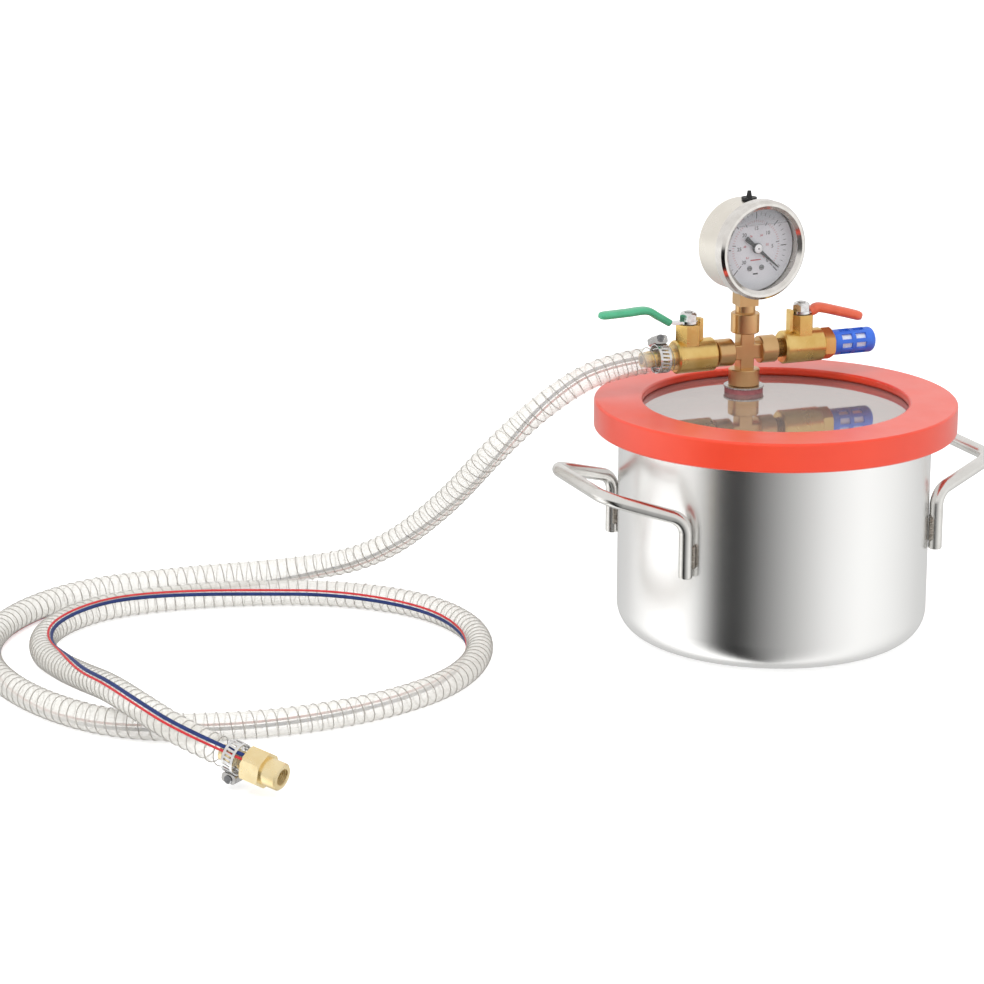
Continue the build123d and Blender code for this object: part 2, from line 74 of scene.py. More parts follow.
def linear(code: str) -> tuple[float, float, float, float]:
    """Turn an sRGB hex colour into linear RGBA.

    Args:
        code: six hex digits after a hash sign.

    Returns:
        The colour with an alpha of one.
    """
    parts = [int(code[i : i + 2], 16) / 255.0 for i in (1, 3, 5)]
    rgb = [c / 12.92 if c <= 0.04045 else ((c + 0.055) / 1.055) ** 2.4 for c in parts]
    return rgb[0], rgb[1], rgb[2], 1.0


def add(
    tree: bpy.types.NodeTree, kind: str, links: dict[str | int, Value] | None = None, **settings: object,
) -> bpy.types.Node:
    """Add a node, set its properties and fill or link its inputs.

    Args:
        tree: the tree that gets the node.
        kind: the node's type name.
        links: input name or index to a value or to another node's output.
        **settings: properties of the node.

    Returns:
        The new node.
    """
    node = tree.nodes.new(kind)
    for key, value in settings.items():
        setattr(node, key, value)
    for key, value in (links or {}).items():
        if isinstance(value, bpy.types.NodeSocket):
            tree.links.new(value, node.inputs[key])
        else:
            node.inputs[key].default_value = value
    return node


# --------------------------------------------------------------------------- finishes


@dataclass(frozen=True)
class Finish:
    """A real material: two tones, a roughness range and a fine relief.

    Sizes are real millimetres. noise_low and noise_high are the noise levels of full shade and full tone.
    """

    name: str
    tone: str
    shade: str
    rough: tuple[float, float]
    grain_mm: float = 8.0
    metallic: float = 0.0
    relief_mm: float = 0.0
    relief_grain_mm: float = 1.0
    coat: float = 0.0
    coat_rough: float = 0.1
    subsurface: float = 0.0
    glow_depth_mm: float = 3.0
    noise_low: float = 0.3
    noise_high: float = 0.7
    rough_grain: float = 0.6
    slot: str = ""

    def noise(self, tree: bpy.types.NodeTree, size_mm: float, detail: float = 3.0) -> bpy.types.NodeSocket:
        """Object-space noise with features of a real size.

        Args:
            tree: the material's tree.
            size_mm: size of one feature.
            detail: octaves of the noise.

        Returns:
            The noise's factor.
        """
        place = add(tree, "ShaderNodeTexCoord").outputs["Object"]
        return add(
            tree, "ShaderNodeTexNoise",
            {"Vector": place, "Scale": 1.0 / (size_mm * MM), "Detail": detail},
        ).outputs["Fac"]

    def spread(
        self, tree: bpy.types.NodeTree, size_mm: float, low: float = 0.0, high: float = 1.0,
    ) -> bpy.types.NodeSocket:
        """Noise stretched to run between two values.

        Args:
            tree: the material's tree.
            size_mm: size of one feature.
            low: the value where the noise is low.
            high: the value where it is high.

        Returns:
            The stretched value.
        """
        return add(
            tree, "ShaderNodeMapRange",
            {"Value": self.noise(tree, size_mm), "From Min": self.noise_low, "From Max": self.noise_high,
             "To Min": low, "To Max": high},
        ).outputs[0]

    def colour(self, tree: bpy.types.NodeTree) -> bpy.types.NodeSocket:
        """Mix tone and shade by soft noise.

        Args:
            tree: the material's tree.

        Returns:
            The mixed colour.
        """
        return add(
            tree, "ShaderNodeMix",
            {"Factor": self.spread(tree, self.grain_mm), "A": linear(self.shade), "B": linear(self.tone)},
            data_type="RGBA",
        ).outputs[2]

    def shape(self, tree: bpy.types.NodeTree, shader: bpy.types.Node) -> None:
        """Hook for what only some finishes have."""

    def build(self) -> bpy.types.Material:
        """Make the material once and hand it back after that.

        Returns:
            The material.
        """
        made = bpy.data.materials.get(self.name)
        if made:
            return made
        material = bpy.data.materials.new(self.name)
        material.use_nodes = True
        tree = material.node_tree
        tree.nodes.clear()
        shader = add(
            tree, "ShaderNodeBsdfPrincipled",
            {"Metallic": self.metallic, "Coat Weight": self.coat, "Coat Roughness": self.coat_rough},
        )
        add(tree, "ShaderNodeOutputMaterial", {"Surface": shader.outputs[0]})
        tree.links.new(self.colour(tree), shader.inputs["Base Color"])
        rough = self.spread(tree, self.grain_mm * self.rough_grain, *self.rough)
        tree.links.new(rough, shader.inputs["Roughness"])
        if self.subsurface:
            shader.inputs["Subsurface Weight"].default_value = self.subsurface
            shader.inputs["Subsurface Scale"].default_value = self.glow_depth_mm * MM
        if self.relief_mm:
            height = self.noise(tree, self.relief_grain_mm, 2.0)
            bump = add(
                tree, "ShaderNodeBump",
                {"Height": height, "Distance": self.relief_mm * MM, "Strength": 1.0},
            )
            tree.links.new(bump.outputs[0], shader.inputs["Normal"])
        self.shape(tree, shader)
        return material


@dataclass(frozen=True)
class ClearSheet(Finish):
    """Clear plate or tube seen by its reflection: little at right angles, much at a slant.

    face and edge are how much of the surface shows, looking straight at it and along it. haze names the
    mesh attribute that scales both.
    """

    face: float = 0.06
    edge: float = 0.8
    blend: float = 0.5
    haze: str = ""

    def shape(self, tree: bpy.types.NodeTree, shader: bpy.types.Node) -> None:
        """Let the surface show more as the view slants, and by the mesh's haze where it has one.

        Args:
            tree: the material's tree.
            shader: its surface shader.
        """
        weight = add(tree, "ShaderNodeLayerWeight", {"Blend": self.blend})
        alpha = add(
            tree, "ShaderNodeMapRange",
            {"Value": weight.outputs["Facing"], "To Min": self.face, "To Max": self.edge},
        ).outputs[0]
        if self.haze:
            haze = add(tree, "ShaderNodeAttribute", attribute_name=self.haze).outputs["Fac"]
            alpha = add(tree, "ShaderNodeMath", {0: alpha, 1: haze}, operation="MULTIPLY").outputs[0]
        tree.links.new(alpha, shader.inputs["Alpha"])


# Polished 304 stainless, spun: an even, slightly soft mirror.
POT_STEEL = Finish("spun_polished_stainless", "#f3f3f2", "#f1f0ef", (0.255, 0.265), 80.0, metallic=1.0)
# Drawn stainless bar, tumbled bright: a little sharper than the pot, in faint patches.
ROD_STEEL = Finish("drawn_stainless_bar", "#e4e3e0", "#d9d7d3", (0.2, 0.26), 12.0, metallic=1.0)
# Weld metal left as it set: duller and a little tanned.
WELD = Finish(
    "stainless_weld_bead", "#b9b3aa", "#857d73", (0.25, 0.42), 1.4, metallic=1.0, relief_mm=0.05,
    relief_grain_mm=0.8, slot="rod_steel",
)
# Moulded silicone rubber: even colour, soft satin skin that pales at a slant.
SILICONE = Finish(
    "moulded_silicone_rubber", "#ee3f14", "#e93a11", (0.36, 0.44), 25.0, relief_mm=0.006,
    relief_grain_mm=1.2, coat=0.65, coat_rough=0.3, subsurface=0.15,
)
# Cast acrylic plate: a mirror at a slant, clear from above.
LID_CLEAR = ClearSheet(
    "cast_acrylic_plate", "#d9d0cd", "#d4cbc8", (0.03, 0.05), 40.0, metallic=0.75, face=0.16, edge=1.0,
    blend=0.5,
)
# Float glass of the gauge: almost unseen until it catches the light.
GAUGE_GLASS = ClearSheet(
    "gauge_float_glass", "#f4f6f7", "#eef0f2", (0.01, 0.02), 20.0, metallic=1.0, face=0.012, edge=0.3,
    blend=0.3,
)
# Bar-stock brass, turned: smooth, warm brown-gold.
TURNED_BRASS = Finish(
    "turned_brass", "#fbe2b2", "#f3d8a6", (0.2, 0.25), 12.0, metallic=1.0, relief_mm=0.002,
    relief_grain_mm=0.5,
)
# Milled faces of the cross and the gauge socket: flatter than the turned collars, and painted browner to
# stand in for the dark room that their flat faces mirror.
CROSS_BRASS_PAINTED_SHADE = Finish(
    "milled_brass_painted_shade", "#d6b07f", "#cda776", (0.28, 0.32), 12.0, metallic=1.0, relief_mm=0.002,
    relief_grain_mm=0.6,
)
# Hot-stamped valve brass, tumbled: yellower, with a grainy skin.
VALVE_BRASS = Finish(
    "stamped_brass", "#ebcc86", "#dab46a", (0.26, 0.34), 10.0, metallic=1.0, relief_mm=0.012,
    relief_grain_mm=1.2,
)
# Brass of the hose end, pale and bright.
PALE_BRASS = Finish(
    "bright_stamped_brass", "#f7e6bb", "#efd8a4", (0.24, 0.34), 9.0, metallic=1.0, relief_mm=0.01,
    relief_grain_mm=0.9, slot="brass",
)
# Thread flanks: the same brass painted much darker, as painted shade in the gaps between the fittings.
THREAD_BRASS_PAINTED_SHADE = Finish("cut_thread_brass_painted_shade", "#b08850", "#6e5230", (0.3, 0.45), 1.2, metallic=1.0, slot="brass")
# Chrome plate over steel: cool, bright and nearly sharp.
CHROME = Finish(
    "chrome_plate", "#eeeeef", "#dededf", (0.14, 0.2), 4.0, metallic=1.0, relief_mm=0.005,
    relief_grain_mm=1.5, slot="clamp_steel",
)
# Zinc-plated washer: greyer. The worm clamps' housings wear it too, darker than their real steel, as painted
# shade.
ZINC_AND_SHADE = Finish("zinc_plate_and_painted_shade", "#c7c6c4", "#a9a7a5", (0.22, 0.34), 2.0, metallic=1.0)
# Stainless strip of the worm clamps.
CLAMP_STEEL = Finish(
    "stainless_strip", "#e8e8e8", "#d2d1d0", (0.14, 0.24), 2.5, metallic=1.0, relief_mm=0.01,
    relief_grain_mm=0.7, slot="clamp_steel",
)
# Dipped vinyl: smooth and slightly waxy.
GREEN_VINYL = Finish(
    "green_dipped_vinyl", "#4fb488", "#46a87c", (0.32, 0.42), 6.0, relief_mm=0.02, relief_grain_mm=1.4,
    coat=0.2, coat_rough=0.25, slot="green_vinyl",
)
RED_VINYL = Finish(
    "red_dipped_vinyl", "#e86a4a", "#dd5e3e", (0.32, 0.42), 6.0, relief_mm=0.02, relief_grain_mm=1.4,
    coat=0.2, coat_rough=0.25, slot="red_vinyl",
)
# Moulded nylon thimble of the muffler.
BLUE_NYLON = Finish(
    "blue_moulded_nylon", "#3a76ea", "#306adb", (0.34, 0.44), 6.0, relief_mm=0.015, relief_grain_mm=0.9,
    coat=0.15, coat_rough=0.3,
)
# Sintered plastic beads: chalky and grainy.
SINTERED = Finish(
    "sintered_polyethylene", "#f2f5fa", "#dfe5ee", (0.7, 0.9), 1.2, relief_mm=0.12, relief_grain_mm=0.6,
)
# Flexible PVC of the hose: milky at the edges, clearer in the middle, clearest where it is wet on a barb.
CLEAR_PVC = ClearSheet(
    "clear_flexible_pvc", "#faf8f2", "#f5f3ec", (0.12, 0.2), 12.0, coat=0.4, coat_rough=0.08, face=0.26,
    edge=0.66, blend=0.35, haze="haze", slot="hose_pvc",
)
# Spring wire inside the wall: grey through the plastic.
HELIX_WIRE = Finish("spring_steel_wire", "#a8a39b", "#938e86", (0.4, 0.5), 3.0, metallic=0.2)
# Marker yarns in the wall.
RED_STRIPE = Finish("red_pvc_stripe", "#d8353a", "#c62b31", (0.6, 0.7), 5.0, slot="hose_pvc")
BLUE_STRIPE = Finish("blue_pvc_stripe", "#1c3474", "#152a62", (0.6, 0.7), 5.0, slot="hose_pvc")
# Rubber of the port washers, with the red light that the silicone beside it bounces painted into its colour.
PAINTED_BOUNCE_RUBBER = Finish(
    "grey_rubber_painted_red_bounce", "#b06c70", "#98585e", (0.5, 0.65), 3.0, relief_mm=0.02, relief_grain_mm=0.8,
)
# Gauge case: deep-drawn stainless, linished.
CASE_STEEL = Finish("linished_case_steel", "#ebe6dd", "#e4dfd5", (0.26, 0.32), 14.0, metallic=1.0)
# Rolled bezel, buffed bright.
BEZEL_STEEL = Finish("buffed_bezel_steel", "#e4e1dd", "#d6d2cd", (0.12, 0.18), 6.0, metallic=1.0)
# Painted aluminium dial: matt and very slightly mottled.
DIAL_PAINT = Finish("matt_dial_paint", "#d9d9de", "#d0d1d7", (0.55, 0.65), 9.0)
BLACK_INK = Finish("black_dial_ink", "#1b1b1d", "#26262a", (0.45, 0.55), 2.0, slot="dial_white")
RED_INK = Finish("red_dial_ink", "#b8434a", "#a63a42", (0.45, 0.55), 2.0, slot="dial_white")
# Enamelled pointer.
POINTER_BLACK = Finish("black_enamel", "#141416", "#1d1d20", (0.3, 0.4), 3.0)
WHITE_ENAMEL = Finish("white_enamel", "#f2f2f2", "#e8e8ea", (0.25, 0.35), 3.0, slot="pointer_black")
# Painted shade over the dial: a grey sheet for the air above the damping glycerine behind the glass, and a
# darker rim where light bends at the liquid's level.
AIR_GAP_SHADE = ClearSheet(
    "painted_shade_over_glycerine", "#8f9aa2", "#9aa5ab", (0.1, 0.2), 6.0, face=0.1, edge=0.2, slot="gauge_glass",
)
LIQUID_RIM_SHADE = ClearSheet(
    "painted_shade_liquid_edge", "#6f777c", "#7d8589", (0.1, 0.2), 6.0, face=0.18, edge=0.3, slot="gauge_glass",
)
# Slotted heads on the dial: dulled steel. The worm clamps' screws wear it too, darker than their real steel,
# as painted shade.
DULL_STEEL_AND_SHADE = Finish("dulled_steel_and_painted_shade", "#8f8f90", "#6c6c6e", (0.35, 0.5), 1.5, metallic=1.0)
BLACK_RUBBER = Finish(
    "black_moulded_rubber", "#1c1c1e", "#29292b", (0.5, 0.65), 2.0, relief_mm=0.02, relief_grain_mm=0.7,
)
# PTFE seats and packing.
PTFE = Finish("white_ptfe", "#f3f2ee", "#e9e8e2", (0.35, 0.45), 3.0)

CAD_FINISHES: dict[str, Finish] = {
    "pot": POT_STEEL, "handle_left": ROD_STEEL, "handle_right": ROD_STEEL, "gasket_ring": SILICONE,
    # The port washers are pinked by painted red bounce light.
    "lid": LID_CLEAR, "rubber_washer_top": PAINTED_BOUNCE_RUBBER, "rubber_washer_bottom": PAINTED_BOUNCE_RUBBER,
    "plate_washer_top": ZINC_AND_SHADE, "plate_washer_bottom": ZINC_AND_SHADE, "lid_nut": TURNED_BRASS,
    # The cross wears brass painted browner as shade.
    "bulkhead_nipple": TURNED_BRASS, "cross": CROSS_BRASS_PAINTED_SHADE, "nipple_left": THREAD_BRASS_PAINTED_SHADE,
    # The nipples wear thread brass painted dark as shade in the gaps beside the valves.
    "nipple_right": THREAD_BRASS_PAINTED_SHADE, "muffler": BLUE_NYLON, "muffler_element": SINTERED,
    "hose_barb": VALVE_BRASS, "end_coupler": PALE_BRASS,
    # The clamps' housings and screws are painted darker than their steel, as painted shade.
    "valve_clamp_housing": ZINC_AND_SHADE, "valve_clamp_screw": DULL_STEEL_AND_SHADE,
    "end_clamp_housing": ZINC_AND_SHADE, "end_clamp_screw": DULL_STEEL_AND_SHADE,
    "gauge_case": CASE_STEEL, "gauge_bezel": BEZEL_STEEL, "gauge_window": GAUGE_GLASS,
    "gauge_dial": DIAL_PAINT, "gauge_dial_screws": DULL_STEEL_AND_SHADE, "gauge_movement": TURNED_BRASS,
    "gauge_bourdon": TURNED_BRASS, "gauge_pointer": POINTER_BLACK, "gauge_plug": BLACK_RUBBER,
    # The socket wears the cross's brass, painted browner as shade.
    "gauge_socket": CROSS_BRASS_PAINTED_SHADE,
}
for side in ("suction", "vent"):
    CAD_FINISHES.update({
        f"{side}_valve_body": VALVE_BRASS, f"{side}_ball": CHROME, f"{side}_seats": PTFE,
        f"{side}_stem": ZINC_AND_SHADE, f"{side}_packing": PTFE, f"{side}_lever": CHROME,
        f"{side}_lever_nut": CLAMP_STEEL,
    })


# --------------------------------------------------------------------------- meshes and trees


def piece(
    name: str, verts: Sequence[Vector], faces: Sequence[Sequence[int]], finish: Finish,
    body: str = "chamber", smooth: bool = True,
) -> bpy.types.Object:
    """Make a mesh object at the origin and let it ride on a body.

    Args:
        name: the piece's name.
        verts: corners in metres, in the row frame.
        faces: corner numbers of each face.
        finish: the material.
        body: the body that carries it.
        smooth: whether the faces shade smoothly.

    Returns:
        The object.
    """
    mesh = bpy.data.meshes.new(name)
    mesh.from_pydata([tuple(v) for v in verts], [], [tuple(f) for f in faces])
    mesh.polygons.foreach_set("use_smooth", [smooth] * len(mesh.polygons))
    mesh.materials.append(finish.build())
    return seat(bpy.data.objects.new(name, mesh), body, finish)


def seat(obj: bpy.types.Object, body: str, finish: Finish) -> bpy.types.Object:
    """Link an object, let it ride on a body and log its finish.

    Args:
        obj: the finished object.
        body: the body that carries it.
        finish: its material.

    Returns:
        The same object.
    """
    bpy.context.scene.collection.objects.link(obj)
    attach(obj, body)
    LOG.info("%s in %s rides on %s", obj.name, finish.name, body)
    return obj


def frozen(obj: bpy.types.Object) -> bpy.types.Mesh:
    """Mesh of an object with its modifiers worked out.

    Args:
        obj: the object, linked to the scene.

    Returns:
        A new mesh.
    """
    bpy.context.view_layer.update()
    return bpy.data.meshes.new_from_object(obj.evaluated_get(bpy.context.evaluated_depsgraph_get()))


# A function that wires a tree from its input node and gives back its last output.
Wiring = Callable[[bpy.types.NodeTree, bpy.types.Node], bpy.types.NodeSocket]


class NodeMesh:
    """A Geometry Nodes tree whose every run leaves a plain mesh."""

    def __init__(self, name: str, sizes: dict[str, str], wire: Wiring) -> None:
        """Build the tree.

        Args:
            name: the tree's name.
            sizes: input name to socket type.
            wire: function that wires the tree and returns its last geometry output.
        """
        self.tree = bpy.data.node_groups.new(name, "GeometryNodeTree")
        face = self.tree.interface
        face.new_socket("Geometry", in_out="INPUT", socket_type="NodeSocketGeometry")
        self.ids = {
            key: face.new_socket(key, in_out="INPUT", socket_type=kind).identifier
            for key, kind in {**sizes, "Material": "NodeSocketMaterial"}.items()
        }
        face.new_socket("Geometry", in_out="OUTPUT", socket_type="NodeSocketGeometry")
        start = add(self.tree, "NodeGroupInput")
        last = add(self.tree, "GeometryNodeRealizeInstances", {0: wire(self.tree, start)})
        dressed = add(
            self.tree, "GeometryNodeSetMaterial",
            {"Geometry": last.outputs[0], "Material": start.outputs["Material"]},
        )
        add(self.tree, "NodeGroupOutput", {0: dressed.outputs[0]})

    def run(
        self, name: str, verts: Sequence[Vector], links: Sequence[Sequence[int]], finish: Finish,
        body: str = "chamber", place: Matrix | None = None, smooth: bool = True, **sizes: float,
    ) -> bpy.types.Object:
        """Run the tree on a small mesh and keep the result.

        Args:
            name: the piece's name.
            verts: corners of the mesh that goes in.
            links: its faces, or its edges where each has two corners.
            finish: the material.
            body: the body that carries the piece.
            place: where the result goes.
            smooth: whether the faces shade smoothly.
            **sizes: the tree's inputs.

        Returns:
            The finished object.
        """
        seed = bpy.data.meshes.new(name + "_seed")
        edges = [tuple(f) for f in links if len(f) == 2]
        seed.from_pydata([tuple(v) for v in verts], edges, [tuple(f) for f in links if len(f) > 2])
        obj = bpy.data.objects.new(name, seed)
        bpy.context.scene.collection.objects.link(obj)
        modifier = obj.modifiers.new("shape", "NODES")
        modifier.node_group = self.tree
        for key, value in sizes.items():
            modifier[self.ids[key]] = value
        modifier[self.ids["Material"]] = finish.build()
        mesh = frozen(obj)
        bpy.data.objects.remove(obj)
        mesh.name = name
        if place:
            mesh.transform(place)
        mesh.polygons.foreach_set("use_smooth", [smooth] * len(mesh.polygons))
        return seat(bpy.data.objects.new(name, mesh), body, finish)


def wire_coil(tree: bpy.types.NodeTree, start: bpy.types.Node) -> bpy.types.NodeSocket:
    """Wire the tree of a round wire wound on a line.

    Args:
        tree: the tree.
        start: its input node, with Radius, Pitch, Wire and Steps a turn.

    Returns:
        The wire's geometry.
    """
    curve = add(tree, "GeometryNodeMeshToCurve", {0: start.outputs["Geometry"]})
    step = add(
        tree, "ShaderNodeMath", {0: start.outputs["Pitch"], 1: start.outputs["Steps"]},
        operation="DIVIDE",
    )
    fine = add(
        tree, "GeometryNodeResampleCurve", {"Curve": curve.outputs[0], "Length": step.outputs[0]},
        mode="LENGTH",
    )
    along = add(tree, "GeometryNodeSplineParameter").outputs["Length"]
    turns = add(tree, "ShaderNodeMath", {0: along, 1: start.outputs["Pitch"]}, operation="DIVIDE")
    angle = add(tree, "ShaderNodeMath", {0: turns.outputs[0], 1: TURN}, operation="MULTIPLY").outputs[0]
    normal = add(tree, "GeometryNodeInputNormal").outputs[0]
    tangent = add(tree, "GeometryNodeInputTangent").outputs[0]
    across = add(tree, "ShaderNodeVectorMath", {0: tangent, 1: normal}, operation="CROSS_PRODUCT").outputs[0]
    sides = []
    for axis, turn in ((normal, "COSINE"), (across, "SINE")):
        swing = add(tree, "ShaderNodeMath", {0: angle}, operation=turn)
        reach = add(
            tree, "ShaderNodeMath", {0: swing.outputs[0], 1: start.outputs["Radius"]},
            operation="MULTIPLY",
        )
        part = add(tree, "ShaderNodeVectorMath", {0: axis, "Scale": reach.outputs[0]}, operation="SCALE")
        sides.append(part.outputs[0])
    offset = add(tree, "ShaderNodeVectorMath", {0: sides[0], 1: sides[1]}, operation="ADD")
    moved = add(tree, "GeometryNodeSetPosition", {"Geometry": fine.outputs[0], "Offset": offset.outputs[0]})
    ring = add(
        tree, "GeometryNodeCurvePrimitiveCircle",
        {"Resolution": WIRE_SIDES, "Radius": start.outputs["Wire"]},
    )
    solid = add(tree, "GeometryNodeCurveToMesh", {0: moved.outputs[0], 1: ring.outputs[0], "Fill Caps": True})
    return solid.outputs[0]


def wire_round(tree: bpy.types.NodeTree, start: bpy.types.Node) -> bpy.types.NodeSocket:
    """Wire the tree of copies of a shape turned about Z.

    Args:
        tree: the tree.
        start: its input node, with Count, and First and Step in radians.

    Returns:
        The copies' geometry.
    """
    line = add(tree, "GeometryNodeMeshLine", {"Count": start.outputs["Count"], "Offset": (0.0, 0.0, 0.0)})
    number = add(tree, "GeometryNodeInputIndex").outputs[0]
    turned = add(
        tree, "ShaderNodeMath",
        {0: number, 1: start.outputs["Step"], 2: start.outputs["First"]}, operation="MULTIPLY_ADD",
    )
    spin = add(tree, "ShaderNodeCombineXYZ", {"Z": turned.outputs[0]})
    copies = add(
        tree, "GeometryNodeInstanceOnPoints",
        {"Points": line.outputs[0], "Instance": start.outputs["Geometry"], "Rotation": spin.outputs[0]},
    )
    return add(tree, "GeometryNodeRealizeInstances", {0: copies.outputs[0]}).outputs[0]


REAL, WHOLE = "NodeSocketFloat", "NodeSocketInt"
COIL = NodeMesh("coil", {"Radius": REAL, "Pitch": REAL, "Wire": REAL, "Steps": WHOLE}, wire_coil)
ROUND = NodeMesh("round", {"Count": WHOLE, "First": REAL, "Step": REAL}, wire_round)


def slab(x: Pair, y: Pair, z: Pair) -> Shell:
    """Corners and faces of a block.

    Args:
        x: lowest and highest X.
        y: lowest and highest Y.
        z: lowest and highest Z.

    Returns:
        Corners and faces.
    """
    verts = [Vector((x[i & 1], y[i >> 1 & 1], z[i >> 2 & 1])) for i in range(8)]
    faces = [[0, 2, 3, 1], [4, 5, 7, 6], [0, 1, 5, 4], [2, 6, 7, 3], [0, 4, 6, 2], [1, 3, 7, 5]]
    return verts, faces


def loft(rings: Sequence[Sequence[Vector]], closed: bool = False) -> Shell:
    """Skin over rings of equal count.

    Args:
        rings: rings of points, each in order round.
        closed: whether the last ring joins the first; if not, the ends are filled.

    Returns:
        Corners and faces.
    """
    count = len(rings[0])
    verts = [p for ring in rings for p in ring]
    faces: list[list[int]] = []
    spans = len(rings) if closed else len(rings) - 1
    for i in range(spans):
        a, b = i * count, (i + 1) % len(rings) * count
        faces += [[a + k, a + (k + 1) % count, b + (k + 1) % count, b + k] for k in range(count)]
    if not closed:
        faces += [list(range(count))[::-1], [len(verts) - count + k for k in range(count)]]
    return verts, faces


def facing_matrix(origin: Vector, z_axis: Vector, x_axis: Vector) -> Matrix:
    """Placement with given Z and X directions.

    Args:
        origin: where the origin goes.
        z_axis: where Z points.
        x_axis: where X points, as nearly as Z allows.

    Returns:
        The placement.
    """
    z = z_axis.normalized()
    x = (x_axis - x_axis.dot(z) * z).normalized()
    y = z.cross(x)
    turn = Matrix((x, y, z)).transposed().to_4x4()
    return Matrix.Translation(origin) @ turn


# --------------------------------------------------------------------------- hose


# Millimetres. The free end, the point before it, and the way the end fitting points.
HOSE_END = Vector((-372.0, -146.5, 15.5))
BEFORE_END = Vector((-395.0, -116.0, 22.5))
END_DIR = (HOSE_END - BEFORE_END).normalized()
# Axis of the pipe through both valves, above the port in the lid.
PIPE_Z = 160.6
PORT_Y = 42.0
# Height of the hose's middle on the floor, and where it crosses its lower strand.
LIE = 8.05
HUMP = 27.05
ROUTE = [
    (-46.5, PORT_Y, PIPE_Z), (-87, PORT_Y, PIPE_Z), (-125, 46, 141), (-151, 65, 109),
    (-168, 108, 63.5), (-198, 150.5, 23.5), (-243, 185, 10), (-305, 200, LIE), (-375, 198, LIE),
    (-432, 155, LIE), (-458, 88, LIE), (-450, 15, LIE), (-415, -48, LIE), (-350, -74, LIE),
    (-275, -72, LIE), (-212, -42, LIE), (-174, 20, LIE), (-180, 88, LIE), (-225, 138, LIE),
    (-290, 161, LIE), (-350, 166, LIE), (-386, 152, LIE), (-412, 124, 8.3), (-423, 87, 9.7),
    (-422.5, 47, 14), (-419.5, 6, 20), (-415.5, -36, HUMP), (-408, -79, HUMP),
    tuple(BEFORE_END), tuple(HOSE_END),
]
# Share of the hose's length, and where its stripes lie there: degrees from the top to the curl's inside.
STRIPE_TURNS = (
    (0.0, 262.0), (0.14, 250.0), (0.24, 168.0), (0.4, 155.0), (0.47, 112.0), (0.57, 102.0),
    (0.66, 80.0), (0.715, 72.0), (0.8, 41.0), (0.85, 34.0), (0.92, -42.0), (1.0, -48.0),
)


